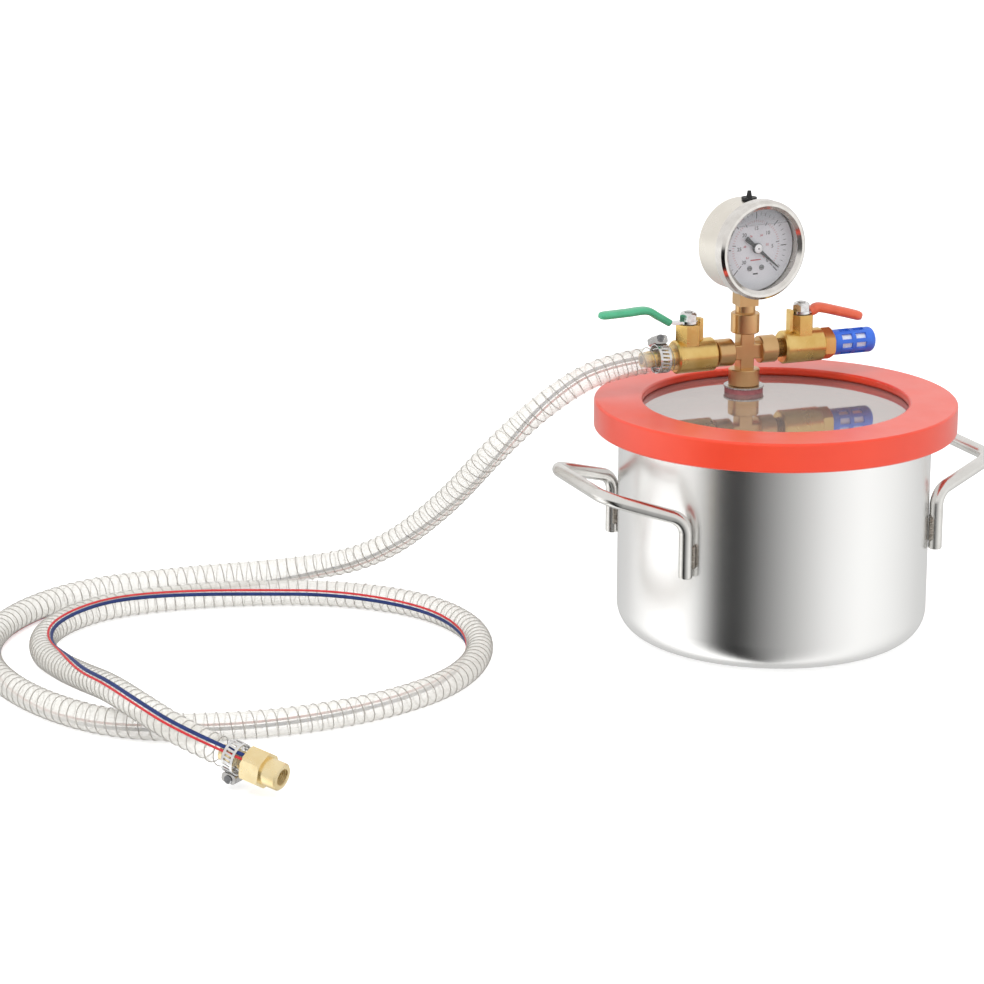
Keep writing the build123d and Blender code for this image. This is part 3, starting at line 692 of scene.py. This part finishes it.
@dataclass
class Hose:
    """Clear wire-wound hose from the suction valve to the end fitting.

    inner is where the bore seems to be: the plastic bends the light, and widens the bore to nearly the
    whole hose. The haze values scale how much of the plastic shows, less where it is wetted on a barb.
    """

    outer: float = 8.0
    inner: float = 7.3
    wire: float = 0.25
    wire_at: float = 7.65
    pitch: float = 6.0
    wire_steps: int = 20
    sides: int = 24
    smoothness: int = 14
    stripe_proud: float = 0.06
    stripe_sunk: float = 0.25
    barb_mm: float = 20.0
    wetted: float = 0.12
    skin_haze: float = 0.5
    bore_haze: float = 1.15
    line: list[Vector] = field(default_factory=list)

    def trace(self) -> None:
        """Read the points of the smooth line that the route controls."""
        curve = bpy.data.curves.new("hose_line", "CURVE")
        curve.dimensions = "3D"
        curve.resolution_u = self.smoothness
        spline = curve.splines.new("NURBS")
        spline.points.add(len(ROUTE) - 1)
        for point, place in zip(spline.points, ROUTE):
            point.co = (*(c * MM for c in place), 1.0)
        spline.order_u = 3
        spline.use_endpoint_u = True
        obj = bpy.data.objects.new("hose_line", curve)
        bpy.context.scene.collection.objects.link(obj)
        mesh = frozen(obj)
        self.line = [v.co.copy() for v in mesh.vertices]
        bpy.data.objects.remove(obj)

    def lengths(self) -> list[float]:
        """Distance along the line at each point.

        Returns:
            Metres from the valve.
        """
        out = [0.0]
        for a, b in zip(self.line, self.line[1:]):
            out.append(out[-1] + (b - a).length)
        return out

    def frames(self) -> list[tuple[Vector, Vector, Vector]]:
        """Each point with its directions across the line.

        Returns:
            The point, the upward direction and the left-hand one.
        """
        out = []
        last = len(self.line) - 1
        for i, p in enumerate(self.line):
            along = (self.line[min(i + 1, last)] - self.line[max(i - 1, 0)]).normalized()
            left = Vector((0, 0, 1)).cross(along).normalized()
            out.append((p, along.cross(left), left))
        return out

    def ring(
        self, frame_at: tuple[Vector, Vector, Vector], radius: float, angles: Sequence[float],
    ) -> list[Vector]:
        """Points round the line.

        Args:
            frame_at: a point of the line with its directions.
            radius: millimetres from the line.
            angles: radians from straight up.

        Returns:
            One point for each angle.
        """
        p, up, left = frame_at
        return [p + (up * math.cos(a) + left * math.sin(a)) * radius * MM for a in angles]

    def tube(self) -> bpy.types.Object:
        """Outer and inner wall, closed at both ends, with the haze of each point.

        Returns:
            The wall.
        """
        angles = [TURN * k / self.sides for k in range(self.sides)]
        frames = self.frames()
        outside = [self.ring(f, self.outer, angles) for f in frames]
        inside = [self.ring(f, self.inner, angles) for f in frames[::-1]]
        verts, faces = loft(outside + inside, closed=True)
        wall = piece("hose_wall", verts, [f[::-1] for f in faces], CLEAR_PVC)
        far = self.lengths()
        clear = [min(s, far[-1] - s) < self.barb_mm * MM for s in far]
        haze = wall.data.attributes.new("haze", "FLOAT", "POINT")
        levels = [self.wetted if c else self.skin_haze for c in clear for _ in angles]
        levels += [self.wetted if c else self.bore_haze for c in clear[::-1] for _ in angles]
        haze.data.foreach_set("value", levels)
        return wall

    def stripe_angle(self, share: float) -> float:
        """Where the stripes lie round the hose, eased between the turns that are given.

        Args:
            share: share of the hose's length.

        Returns:
            Radians from straight up towards the curl's inside.
        """
        for (s0, a0), (s1, a1) in zip(STRIPE_TURNS, STRIPE_TURNS[1:]):
            if share <= s1:
                t = (share - s0) / (s1 - s0)
                return math.radians(a0 + (a1 - a0) * t * t * (3 - 2 * t))
        return math.radians(STRIPE_TURNS[-1][1])

    def stripe(self, name: str, shift_mm: float, width_mm: float, finish: Finish) -> bpy.types.Object:
        """Thin marker along the whole hose.

        Args:
            name: the piece's name.
            shift_mm: its middle from the pair's middle, measured round the hose.
            width_mm: its width.
            finish: its colour.

        Returns:
            The stripe.
        """
        total = self.lengths()
        half = width_mm / 2 / self.outer
        rings = []
        for f, s in zip(self.frames(), total):
            mid = self.stripe_angle(s / total[-1]) + shift_mm / self.outer
            top = self.ring(f, self.outer + self.stripe_proud, (mid - half, mid, mid + half))
            low = self.ring(f, self.outer - self.stripe_sunk, (mid + half, mid - half))
            rings.append(top + low)
        verts, faces = loft(rings)
        return piece(name, verts, faces, finish)

    def helix(self) -> bpy.types.Object:
        """Spring wire in the wall.

        Returns:
            The wire.
        """
        pairs = [(i, i + 1) for i in range(len(self.line) - 1)]
        return COIL.run(
            "hose_wire", self.line, pairs, HELIX_WIRE,
            Radius=self.wire_at * MM, Pitch=self.pitch * MM, Wire=self.wire * MM, Steps=self.wire_steps,
        )

    def build(self, clamps: list[bpy.types.Object]) -> None:
        """Args:
            clamps: the clamp pieces that sit on it; not used.
        """
        self.trace()
        wall = self.tube()
        extras = [
            self.helix(),
            self.stripe("hose_stripe_red", -1.3, 1.3, RED_STRIPE),
            self.stripe("hose_stripe_blue", 1.1, 2.1, BLUE_STRIPE),
        ]
        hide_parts("hose")
        fittings = ["hose_barb", "end_coupler"]
        fittings += [f"{end}_clamp_{part}" for end in ("valve", "end") for part in ("housing", "screw")]


@dataclass
class WormClamp:
    """Slotted band of a hose clamp, with the worm's thread.

    The slot's sizes are shares: slot_from, slot_to and slot_lean of a cell round the band, slot_half of
    its width. worm_up is the height of the worm's axis above the band, worm_ends where its thread ends.
    """

    name: str
    node: str
    at: Vector
    along: Vector
    side: Vector
    radius: float = 8.05
    thick: float = 0.7
    width: float = 7.2
    slots: int = 24
    slot_from: float = 0.27
    slot_to: float = 0.73
    slot_half: float = 0.29
    slot_lean: float = 0.22
    worm_up: float = 2.5
    worm_ends: tuple[float, float] = (-4.9, 6.1)
    worm_r: float = 2.15
    worm_pitch: float = 1.4
    worm_wire: float = 0.38
    worm_steps: int = 20

    def cell(self) -> Shell:
        """One stretch of the band round one slot, as a grid of three by three with its middle cut out.

        Returns:
            Corners and faces.
        """
        step = TURN / self.slots
        half, gap = self.width / 2, self.width * self.slot_half
        cuts = (-half, -gap, gap, half)
        stops = (0.0, step * self.slot_from, step * self.slot_to, step)
        verts: list[Vector] = []
        for r in (self.radius, self.radius + self.thick):
            for z in cuts:
                for a in stops:
                    turn = a + step * self.slot_lean * z / half
                    verts.append(Vector((r * math.cos(turn), r * math.sin(turn), z)) * MM)
        count = len(stops)
        sheet = count * len(cuts)
        faces: list[list[int]] = []
        for row in range(len(cuts) - 1):
            for col in range(count - 1):
                a = row * count + col
                quad = [a, a + 1, a + count + 1, a + count]
                if (row, col) == (1, 1):
                    faces += [[p, q, q + sheet, p + sheet] for p, q in zip(quad, quad[1:] + quad[:1])]
                    continue
                faces += [quad[::-1], [q + sheet for q in quad]]
        for low in range(count - 1):
            high = sheet - count + low
            faces += [
                [low, low + 1, low + 1 + sheet, low + sheet],
                [high + 1, high, high + sheet, high + 1 + sheet],
            ]
        return verts, faces

    def build(self) -> list[bpy.types.Object]:
        """Make the band from repeated cells, and the worm's thread.

        Returns:
            The band and the thread.
        """
        place = facing_matrix(self.at * MM, self.along, self.side)
        verts, faces = self.cell()
        band = ROUND.run(
            self.name + "_slotted_band", verts, faces, CLAMP_STEEL, place=place, smooth=False,
            Count=self.slots, First=0.0, Step=TURN / self.slots,
        )
        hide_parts(self.node)
        mid = self.radius + self.thick + self.worm_up
        ends = [place @ (Vector((mid, y, 0)) * MM) for y in self.worm_ends]
        thread = COIL.run(
            self.name + "_worm_thread", ends, [(0, 1)], CHROME, Radius=self.worm_r * MM,
            Pitch=self.worm_pitch * MM, Wire=self.worm_wire * MM, Steps=self.worm_steps,
        )
        return [band, thread]


# --------------------------------------------------------------------------- valves and fittings


@dataclass
class LeverSleeve:
    """Dipped sleeve on a valve's lever: a flat oval bar, closed round at its tip and drawn in at its mouth.

    line holds the bend points: how far they stand from the stem, and how high above the pipe. The width
    and thickness run from a share of the full size, at the mouth and at the tip, by powers of the way.
    """

    name: str
    node: str
    body: str
    finish: Finish
    line: Sequence[Pair]
    sign: float
    half_width: float = 4.4
    half_thick: float = 2.3
    stem_x: float = 37.3
    steps: int = 8
    sides: int = 20
    mouth_share: float = 0.72
    mouth_run: float = 9.0
    mouth_thinning: float = 0.2
    tip_width: float = 0.12
    tip_thick: float = 0.2
    tip_power: float = 0.6
    width_power: float = 0.75
    thick_power: float = 0.8

    def centre(self) -> list[Vector]:
        """Smooth middle line through the bend points, a Catmull-Rom curve.

        Returns:
            Its points in millimetres.
        """
        pts = [Vector((self.sign * (self.stem_x + x), PORT_Y, PIPE_Z + z)) for x, z in self.line]
        out = []
        for i in range(len(pts) - 1):
            a, b = pts[i], pts[i + 1]
            before, after = pts[max(i - 1, 0)], pts[min(i + 2, len(pts) - 1)]
            for k in range(self.steps):
                t = k / self.steps
                slope = (b - before) * t
                bend = (2 * before - 5 * a + 4 * b - after) * t * t
                twist = (3 * a - before - 3 * b + after) * t ** 3
                out.append(0.5 * (2 * a + slope + bend + twist))
        return out + [pts[-1]]

    def section(self, middle: Vector, up: Vector, run: float, left: float) -> list[Vector]:
        """Outline across the sleeve at one point of its line.

        Args:
            middle: the point.
            up: the direction across the flat side.
            run: length from the mouth to the point.
            left: length from the point to the tip.

        Returns:
            The outline's points in metres.
        """
        tip = math.sqrt(max(0.0, 1 - max(0.0, 1 - left / self.half_width) ** 2))
        mouth = self.mouth_share + (1 - self.mouth_share) * min(1.0, run / self.mouth_run)
        width = self.half_width * max(tip, self.tip_width) * mouth
        thick = self.half_thick * max(tip, self.tip_thick) ** self.tip_power
        thick *= 1 - self.mouth_thinning + self.mouth_thinning * mouth
        out = []
        for k in range(self.sides):
            c, s = math.cos(TURN * k / self.sides), math.sin(TURN * k / self.sides)
            y = math.copysign(abs(c) ** self.width_power, c) * width
            z = math.copysign(abs(s) ** self.thick_power, s) * thick
            out.append((middle + Vector((0, y, 0)) + up * z) * MM)
        return out

    def build(self) -> None:
        """Loft the sections along the line."""
        line = self.centre()
        total = sum((b - a).length for a, b in zip(line, line[1:]))
        run = 0.0
        rings = []
        for i, p in enumerate(line):
            a, b = line[max(i - 1, 0)], line[min(i + 1, len(line) - 1)]
            run += (p - line[i - 1]).length if i else 0.0
            along = (b - a).normalized()
            rings.append(self.section(p, Vector((0, 1, 0)).cross(along).normalized(), run, total - run))
        verts, faces = loft(rings)
        if self.sign < 0:
            faces = [f[::-1] for f in faces]
        sleeve = piece(self.name, verts, faces, self.finish, self.body)
        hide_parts(self.node)


@dataclass
class Threads:
    """Ridges on the threaded pieces that show. Places are millimetres along each thread's axis."""

    pitch: float = 1.1
    wire: float = 0.3
    steps: int = 24
    pipe_r: float = 5.45
    nipple_from: float = 19.2
    nipple_to: Pair = (21.4, 24.4)
    port_z: Pair = (117.2, 119.6)
    end_r: float = 4.65
    end_reach: float = 20.6
    end_run: float = 10.5

    def ridge(self, name: str, a: Vector, b: Vector, radius: float, finish: Finish) -> None:
        """One thread between two points.

        Args:
            name: the piece's name.
            a: where it starts.
            b: where it stops.
            radius: its radius.
            finish: the material.
        """
        COIL.run(
            name, [a * MM, b * MM], [(0, 1)], finish,
            Radius=radius * MM, Pitch=self.pitch * MM, Wire=self.wire * MM, Steps=self.steps,
        )

    def build(self) -> None:
        """Threads of the nipples, the port and the end fitting."""
        # The nipple and port threads are painted dark as shade; the end fitting's thread stays pale.
        for sign, far, side in zip((-1.0, 1.0), self.nipple_to, ("left", "right")):
            ends = [Vector((sign * x, PORT_Y, PIPE_Z)) for x in (self.nipple_from, far)]
            self.ridge(f"nipple_thread_{side}", *ends, self.pipe_r, THREAD_BRASS_PAINTED_SHADE)
        ends = [Vector((0, PORT_Y, z)) for z in self.port_z]
        self.ridge("port_thread", *ends, self.pipe_r, THREAD_BRASS_PAINTED_SHADE)
        tip = HOSE_END + END_DIR * self.end_reach
        self.ridge("end_fitting_thread", tip, tip - END_DIR * self.end_run, self.end_r, PALE_BRASS)


@dataclass
class WeldBeads:
    """Rippled beads in the corner between each handle foot and the wall.

    sunk is how far a bead's line lies inside foot_r, and flank how far it is beside the foot's middle.
    """

    foot_r: float = 96.0
    half_angle: float = 32.5
    low: float = 60.5
    high: float = 73.5
    sunk: float = 2.3
    flank: float = 3.4
    ripple_r: float = 0.55
    ripple_pitch: float = 1.5
    wire: float = 1.15
    steps: int = 12

    def build(self) -> None:
        """Two beads at each of the four feet."""
        for base in (0.0, 180.0):
            for foot in (-1.0, 1.0):
                for flank in (-1.0, 1.0):
                    angle = math.radians(base + foot * self.half_angle)
                    out = Vector((math.cos(angle), math.sin(angle), 0))
                    across = Vector((-out.y, out.x, 0))
                    spot = out * (self.foot_r - self.sunk) + across * flank * self.flank
                    ends = [(spot + Vector((0, 0, z))) * MM for z in (self.low, self.high)]
                    name = f"weld_{int(base)}_{'b' if foot > 0 else 'a'}{'b' if flank > 0 else 'a'}"
                    COIL.run(
                        name, ends, [(0, 1)], WELD, Radius=self.ripple_r * MM,
                        Pitch=self.ripple_pitch * MM, Wire=self.wire * MM, Steps=self.steps,
                    )


# --------------------------------------------------------------------------- gauge


class Scale(Enum):
    """Which scale a mark on the dial belongs to."""

    OUTER = "outer"
    INNER = "inner"

    def label(self, value: int) -> str:
        """Text beside a tick: whole steps outside, hundredths inside.

        Args:
            value: steps from zero.

        Returns:
            The text.
        """
        if self is Scale.OUTER or not value:
            return str(value)
        return f".{value:02d}" if value < 10 else "0.1"


@dataclass
class DialPrint:
    """Ticks, numbers and trim printed on the gauge's dial, and what stands in front of it.

    Places are millimetres on the dial: X to the reader's right, Y up, Z towards the reader. cap and pin
    are radius and Z pairs of turned pieces.
    """

    turn_deg: float = 7.0
    height: float = 224.6
    face_at: float = 9.8
    zero_deg: float = -45.0
    sweep_deg: float = 270.0
    film: float = 0.05
    bolder: float = 0.03
    screw_x: float = 4.2
    slot_half: float = 1.2
    slot_y: Pair = (-12.2, -11.8)
    slot_at: float = 10.3
    cap: Sequence[Pair] = ((0.05, 12.61), (2.6, 12.61), (2.75, 12.8), (2.5, 13.1), (0.05, 13.1))
    pin: Sequence[Pair] = ((0.05, 13.1), (0.5, 13.1), (0.45, 13.3), (0.05, 13.3))
    disc_sides: int = 32
    air_r: float = 25.5
    air_z: Pair = (13.4, 14.6)
    liquid_level: float = 14.6
    rim: float = 0.25
    air_steps: int = 24

    @property
    def place(self) -> Matrix:
        """Placement of the dial.

        Returns:
            The matrix, in metres.
        """
        t = math.radians(self.turn_deg)
        out = Vector((math.sin(t), -math.cos(t), 0))
        right = Vector((math.cos(t), math.sin(t), 0))
        return facing_matrix(Vector((0, PORT_Y, self.height)) * MM, out, right)

    def ticks(self, name: str, ink: Finish, count: int, r: Pair, wide: float) -> None:
        """Print a row of ticks round the scale.

        Args:
            name: the piece's name.
            ink: the finish.
            count: steps from zero to full scale.
            r: inner and outer radius.
            wide: width of a tick.
        """
        half, front = wide / 2 * MM, (self.face_at * MM, (self.face_at + self.film) * MM)
        verts, faces = slab((r[0] * MM, r[1] * MM), (-half, half), front)
        ROUND.run(
            name, verts, faces, ink, place=self.place, smooth=False, Count=count + 1,
            First=math.radians(self.zero_deg), Step=math.radians(self.sweep_deg / count),
        )

    def words(self, name: str, body: str, x: float, y: float, size: float, ink: Finish) -> None:
        """Print a few characters, centred on a spot of the dial.

        Args:
            name: the piece's name.
            body: the characters.
            x: the spot's X.
            y: its Y.
            size: height of the type.
            ink: the finish.
        """
        text = bpy.data.curves.new(name, "FONT")
        text.body = body
        text.size = size * MM
        text.align_x = "CENTER"
        text.align_y = "CENTER"
        text.extrude = self.film / 2 * MM
        text.offset = self.bolder * MM
        obj = bpy.data.objects.new(name, text)
        bpy.context.scene.collection.objects.link(obj)
        mesh = frozen(obj)
        bpy.data.objects.remove(obj)
        spot = Matrix.Translation(Vector((x, y, self.face_at + self.film / 2)) * MM)
        mesh.transform(self.place @ spot)
        mesh.materials.clear()
        mesh.materials.append(ink.build())
        seat(bpy.data.objects.new(name, mesh), "chamber", ink)

    def numbers(self, scale: Scale, top: int, step: int, radius: float, size: float, ink: Finish) -> None:
        """Print the numbers of one scale, upright, beside their ticks.

        Args:
            scale: the scale.
            top: its full value in steps.
            step: steps between numbers.
            radius: distance from the dial's middle.
            size: height of the type.
            ink: the finish.
        """
        for value in range(0, top + 1, step):
            a = math.radians(self.zero_deg + self.sweep_deg * value / top)
            name = f"dial_{scale.value}_{value:02d}"
            self.words(name, scale.label(value), radius * math.cos(a), radius * math.sin(a), size, ink)

    def patch(self, name: str, finish: Finish, x: Pair, y: Pair, z: Pair) -> None:
        """Stand a small flat block on the dial or on something in front of it.

        Args:
            name: the piece's name.
            finish: the material.
            x: lowest and highest X.
            y: lowest and highest Y.
            z: lowest and highest Z.
        """
        verts, faces = slab(x, y, z)
        piece(name, [self.place @ (v * MM) for v in verts], faces, finish, smooth=False)

    def disc(self, name: str, finish: Finish, profile: Sequence[Pair]) -> None:
        """Turn a piece on the dial's axis that rides on the pointer.

        Args:
            name: the piece's name.
            finish: the material.
            profile: its radius and Z pairs.
        """
        turns = [TURN * k / self.disc_sides for k in range(self.disc_sides)]
        rings = [
            [self.place @ (Vector((r * math.cos(a), r * math.sin(a), z)) * MM) for a in turns]
            for r, z in profile
        ]
        verts, faces = loft(rings)
        piece(name, verts, faces, finish, "pointer")

    def build(self) -> None:
        """Print both scales and the trim, and cap the pointer's hub."""
        self.ticks("dial_outer_long", BLACK_INK, 6, (17.4, 21.4), 0.55)
        self.ticks("dial_outer_short", BLACK_INK, 30, (19.4, 21.4), 0.26)
        self.ticks("dial_inner_long", BLACK_INK, 5, (14.2, 16.6), 0.45)
        self.ticks("dial_inner_short", RED_INK, 50, (15.2, 16.6), 0.2)
        self.numbers(Scale.OUTER, 30, 5, 11.6, 3.1, BLACK_INK)
        self.numbers(Scale.INNER, 10, 2, 8.0, 1.8, RED_INK)
        flat = (self.face_at, self.face_at + self.film)
        self.patch("dial_bar_red", RED_INK, (-3.6, 3.6), (-7.6, -6.9), flat)
        self.patch("dial_bar_black", BLACK_INK, (-1.7, 1.7), (-16.0, -15.1), flat)
        # The screw heads' slots are black ink patches: painted shade in their recesses.
        for k, x in enumerate((-self.screw_x, self.screw_x)):
            across = (x - self.slot_half, x + self.slot_half)
            height = (self.slot_at, self.slot_at + self.film)
            self.patch(f"dial_screw_slot_painted_shade_{k}", BLACK_INK, across, self.slot_y, height)
        self.disc("pointer_cap", WHITE_ENAMEL, self.cap)
        self.disc("pointer_pin", BLACK_INK, self.pin)
        self.air_gap()

    def air_gap(self) -> None:
        """Air over the damping liquid: a faint grey sheet of painted shade, with a darker painted rim where
        the liquid ends.
        """
        r = self.air_r
        start = math.asin(self.liquid_level / r)
        turns = [start + (math.pi - 2 * start) * k / self.air_steps for k in range(self.air_steps + 1)]
        rings = [
            [self.place @ (Vector((r * math.cos(a), r * math.sin(a), z)) * MM) for a in turns]
            for z in self.air_z
        ]
        verts, faces = loft(rings)
        piece("gauge_painted_shade_gap", verts, faces, AIR_GAP_SHADE, smooth=False)
        wide = r * math.cos(start)
        drop = (self.liquid_level - self.rim, self.liquid_level)
        self.patch("gauge_liquid_edge_shade", LIQUID_RIM_SHADE, (-wide, wide), drop, self.air_z)


# --------------------------------------------------------------------------- studio


# What mirrors see round the room at their own height: share of a turn from -X, and how bright it is.
ROOM_BANDS: Sequence[Pair] = (
    (0.0, 0.88), (0.035, 0.4), (0.064, 0.0), (0.116, 0.0), (0.145, 0.1), (0.2, 0.29), (0.30, 0.64),
    (0.37, 0.76), (0.44, 0.68), (0.55, 0.5), (0.70, 0.42), (0.81, 0.5), (0.86, 0.72), (0.91, 0.95),
    (0.965, 1.0), (1.0, 0.88),
)


@dataclass
class Studio:
    """Camera, floor, lamps and surroundings.

    focal and image_side are in the same unit. room lights the object, and white is what the camera sees;
    mirrors see bands below the horizon's rise and overhead above it.
    """

    focal: float = 3200.0
    image_side: float = 984.0
    sensor_mm: float = 36.0
    camera_mm: tuple[float, float, float] = (-830.8, -1630.5, 592.7)
    pitch_deg: float = 15.60
    heading_deg: float = -21.79
    clip_end: float = 50.0
    floor_reach: float = 8.0
    floor_z: Pair = (-0.02, -0.0002)
    floor_glow: float = 0.5
    room: float = 0.86
    white: float = 1.0
    bands: float = 1.5
    overhead: float = 0.95
    horizon: Pair = (-0.1, 0.12)
    band_yellow: float = 0.99

    def camera(self) -> None:
        """Camera at the product view."""
        data = bpy.data.cameras.new("camera")
        data.sensor_width = self.sensor_mm
        data.lens = self.focal / self.image_side * self.sensor_mm
        data.clip_end = self.clip_end
        obj = bpy.data.objects.new("camera", data)
        obj.location = Vector(self.camera_mm) * MM
        obj.rotation_euler = (math.radians(90.0 - self.pitch_deg), 0.0, math.radians(self.heading_deg))
        bpy.context.scene.collection.objects.link(obj)
        bpy.context.scene.camera = obj

    def floor(self) -> None:
        """Pale floor that keeps the shadows and is left out of mirror reflections."""
        reach = (-self.floor_reach, self.floor_reach)
        verts, faces = slab(reach, reach, self.floor_z)
        mesh = bpy.data.meshes.new("floor")
        mesh.from_pydata([tuple(v) for v in verts], [], faces)
        material = bpy.data.materials.new("white_studio_floor")
        material.use_nodes = True
        tree = material.node_tree
        tree.nodes.clear()
        path = add(tree, "ShaderNodeLightPath")
        paint = add(tree, "ShaderNodeBsdfDiffuse", {"Color": linear("#f4f4f4")})
        glow = add(tree, "ShaderNodeEmission", {"Color": (1, 1, 1, 1), "Strength": self.floor_glow})
        seen = add(tree, "ShaderNodeAddShader", {0: paint.outputs[0], 1: glow.outputs[0]})
        plain = add(
            tree, "ShaderNodeMixShader",
            {0: path.outputs["Is Camera Ray"], 1: paint.outputs[0], 2: seen.outputs[0]},
        )
        clear = add(tree, "ShaderNodeBsdfTransparent")
        mixed = add(
            tree, "ShaderNodeMixShader",
            {0: path.outputs["Is Glossy Ray"], 1: plain.outputs[0], 2: clear.outputs[0]},
        )
        add(tree, "ShaderNodeOutputMaterial", {"Surface": mixed.outputs[0]})
        mesh.materials.append(material)
        obj = bpy.data.objects.new("floor", mesh)
        bpy.context.scene.collection.objects.link(obj)

    def world(self) -> None:
        """White surroundings; mirrors see soft light and dark bands round the room."""
        world = bpy.data.worlds.new("studio")
        bpy.context.scene.world = world
        world.use_nodes = True
        tree = world.node_tree
        tree.nodes.clear()
        way = add(tree, "ShaderNodeSeparateXYZ", {0: add(tree, "ShaderNodeTexCoord").outputs["Generated"]})
        angle = add(tree, "ShaderNodeMath", {0: way.outputs[1], 1: way.outputs[0]}, operation="ARCTAN2")
        share = add(
            tree, "ShaderNodeMath", {0: angle.outputs[0], 1: 1.0 / TURN, 2: 0.5},
            operation="MULTIPLY_ADD",
        )
        ramp = add(tree, "ShaderNodeValToRGB", {0: share.outputs[0]})
        marks = ramp.color_ramp.elements
        while len(marks) < len(ROOM_BANDS):
            marks.new(0.5)
        for mark, (at, level) in zip(marks, ROOM_BANDS):
            mark.position = at
            mark.color = (level, level, level * self.band_yellow, 1.0)
        path = add(tree, "ShaderNodeLightPath")
        room = add(tree, "ShaderNodeBackground", {"Color": (1, 1, 1, 1), "Strength": self.room})
        white = add(tree, "ShaderNodeBackground", {"Color": (1, 1, 1, 1), "Strength": self.white})
        low_room = add(tree, "ShaderNodeBackground", {"Color": ramp.outputs[0], "Strength": self.bands})
        high_room = add(
            tree, "ShaderNodeBackground", {"Color": (1.0, 0.99, 0.98, 1), "Strength": self.overhead},
        )
        rise = add(
            tree, "ShaderNodeMapRange",
            {"Value": way.outputs[2], "From Min": self.horizon[0], "From Max": self.horizon[1]},
            interpolation_type="SMOOTHSTEP",
        )
        bands = add(
            tree, "ShaderNodeMixShader",
            {0: rise.outputs[0], 1: low_room.outputs[0], 2: high_room.outputs[0]},
        )
        seen = add(
            tree, "ShaderNodeMath",
            {0: path.outputs["Is Camera Ray"], 1: path.outputs["Is Transmission Ray"]},
            operation="MAXIMUM",
        )
        first = add(
            tree, "ShaderNodeMixShader", {0: seen.outputs[0], 1: room.outputs[0], 2: white.outputs[0]},
        )
        last = add(
            tree, "ShaderNodeMixShader",
            {0: path.outputs["Is Glossy Ray"], 1: first.outputs[0], 2: bands.outputs[0]},
        )
        add(tree, "ShaderNodeOutputWorld", {"Surface": last.outputs[0]})

    def lamp(
        self, name: str, place: tuple[float, float, float], aim: tuple[float, float, float], size: float,
        watts: float,
    ) -> None:
        """Hang a square soft lamp aimed at a point, left out of mirror reflections.

        Args:
            name: the lamp's name.
            place: where it hangs, in metres.
            aim: the point it is aimed at.
            size: length of its side.
            watts: its power.
        """
        data = bpy.data.lights.new(name, "AREA")
        data.size = size
        data.energy = watts
        obj = bpy.data.objects.new(name, data)
        obj.location = place
        obj.visible_glossy = False
        obj.rotation_euler = (Vector(aim) - Vector(place)).to_track_quat("-Z", "Y").to_euler()
        bpy.context.scene.collection.objects.link(obj)


def dress_cad() -> None:
    """Give every carried-over CAD node its finish."""
    for name, obj in frame["nodes"].items():
        finish = CAD_FINISHES.get(name)
        if finish is None:
            continue
        obj.data.materials.clear()
        obj.data.materials.append(finish.build())
        LOG.info("%s is %s", name, finish.name)


# Height of a lever's plate above the pipe, and the bend points of the sleeves on both levers.
PLATE = 20.75
GREEN_LINE = (
    (12.4, PLATE + 0.3), (20.0, PLATE + 4.9), (27.5, PLATE + 8.8), (41.0, PLATE + 8.5), (58.0, PLATE + 8.0),
)
RED_LINE = (
    (5.4, PLATE - 0.4), (7.6, PLATE + 0.3), (12.0, PLATE + 1.7), (26.0, PLATE - 1.9), (41.0, PLATE - 6.2),
)
# Where the clamps sit: the valve's along X, the end's back from the hose's end, and the lean of the first.
VALVE_CLAMP_X = -55.0
END_CLAMP_BACK = 8.5
CLAMP_LEAN_DEG = 22.0


def make_clamps() -> list[bpy.types.Object]:
    """Both worm clamps of the hose.

    Returns:
        Their pieces.
    """
    low = END_DIR.cross(Vector((0, 0, 1)).cross(END_DIR)).normalized() * -1
    lean = math.radians(CLAMP_LEAN_DEG)
    top_back = Vector((0, math.sin(lean), math.cos(lean)))
    spot = Vector((VALVE_CLAMP_X, PORT_Y, PIPE_Z))
    valve = WormClamp("valve_clamp", "valve_clamp_band", spot, Vector((-1, 0, 0)), top_back)
    end = WormClamp("end_clamp", "end_clamp_band", HOSE_END - END_DIR * END_CLAMP_BACK, END_DIR, low)
    return valve.build() + end.build()


def main() -> None:
    """Build the scene in order."""
    logging.basicConfig(level=logging.INFO, format="%(name)s: %(message)s")
    bpy.context.scene.view_settings.view_transform = "Standard"
    studio = Studio()
    studio.camera()
    Hose().build(make_clamps())
    dress_cad()
    green = LeverSleeve("green_sleeve", "suction_grip", "suction_handle", GREEN_VINYL, GREEN_LINE, -1.0)
    green.build()
    red = LeverSleeve("red_sleeve", "vent_grip", "vent_handle", RED_VINYL, RED_LINE, 1.0, half_thick=3.0)
    red.build()
    Threads().build()
    WeldBeads().build()
    DialPrint().build()
    studio.floor()
    studio.world()
    studio.lamp("key", (-1.3, -0.9, 2.6), (0.0, 0.0, 0.1), 1.4, 27.0)
    studio.lamp("front", (-0.5, -2.5, 0.9), (0.0, 0.0, 0.12), 1.2, 6.0)


if __name__ == "__main__":
    main()
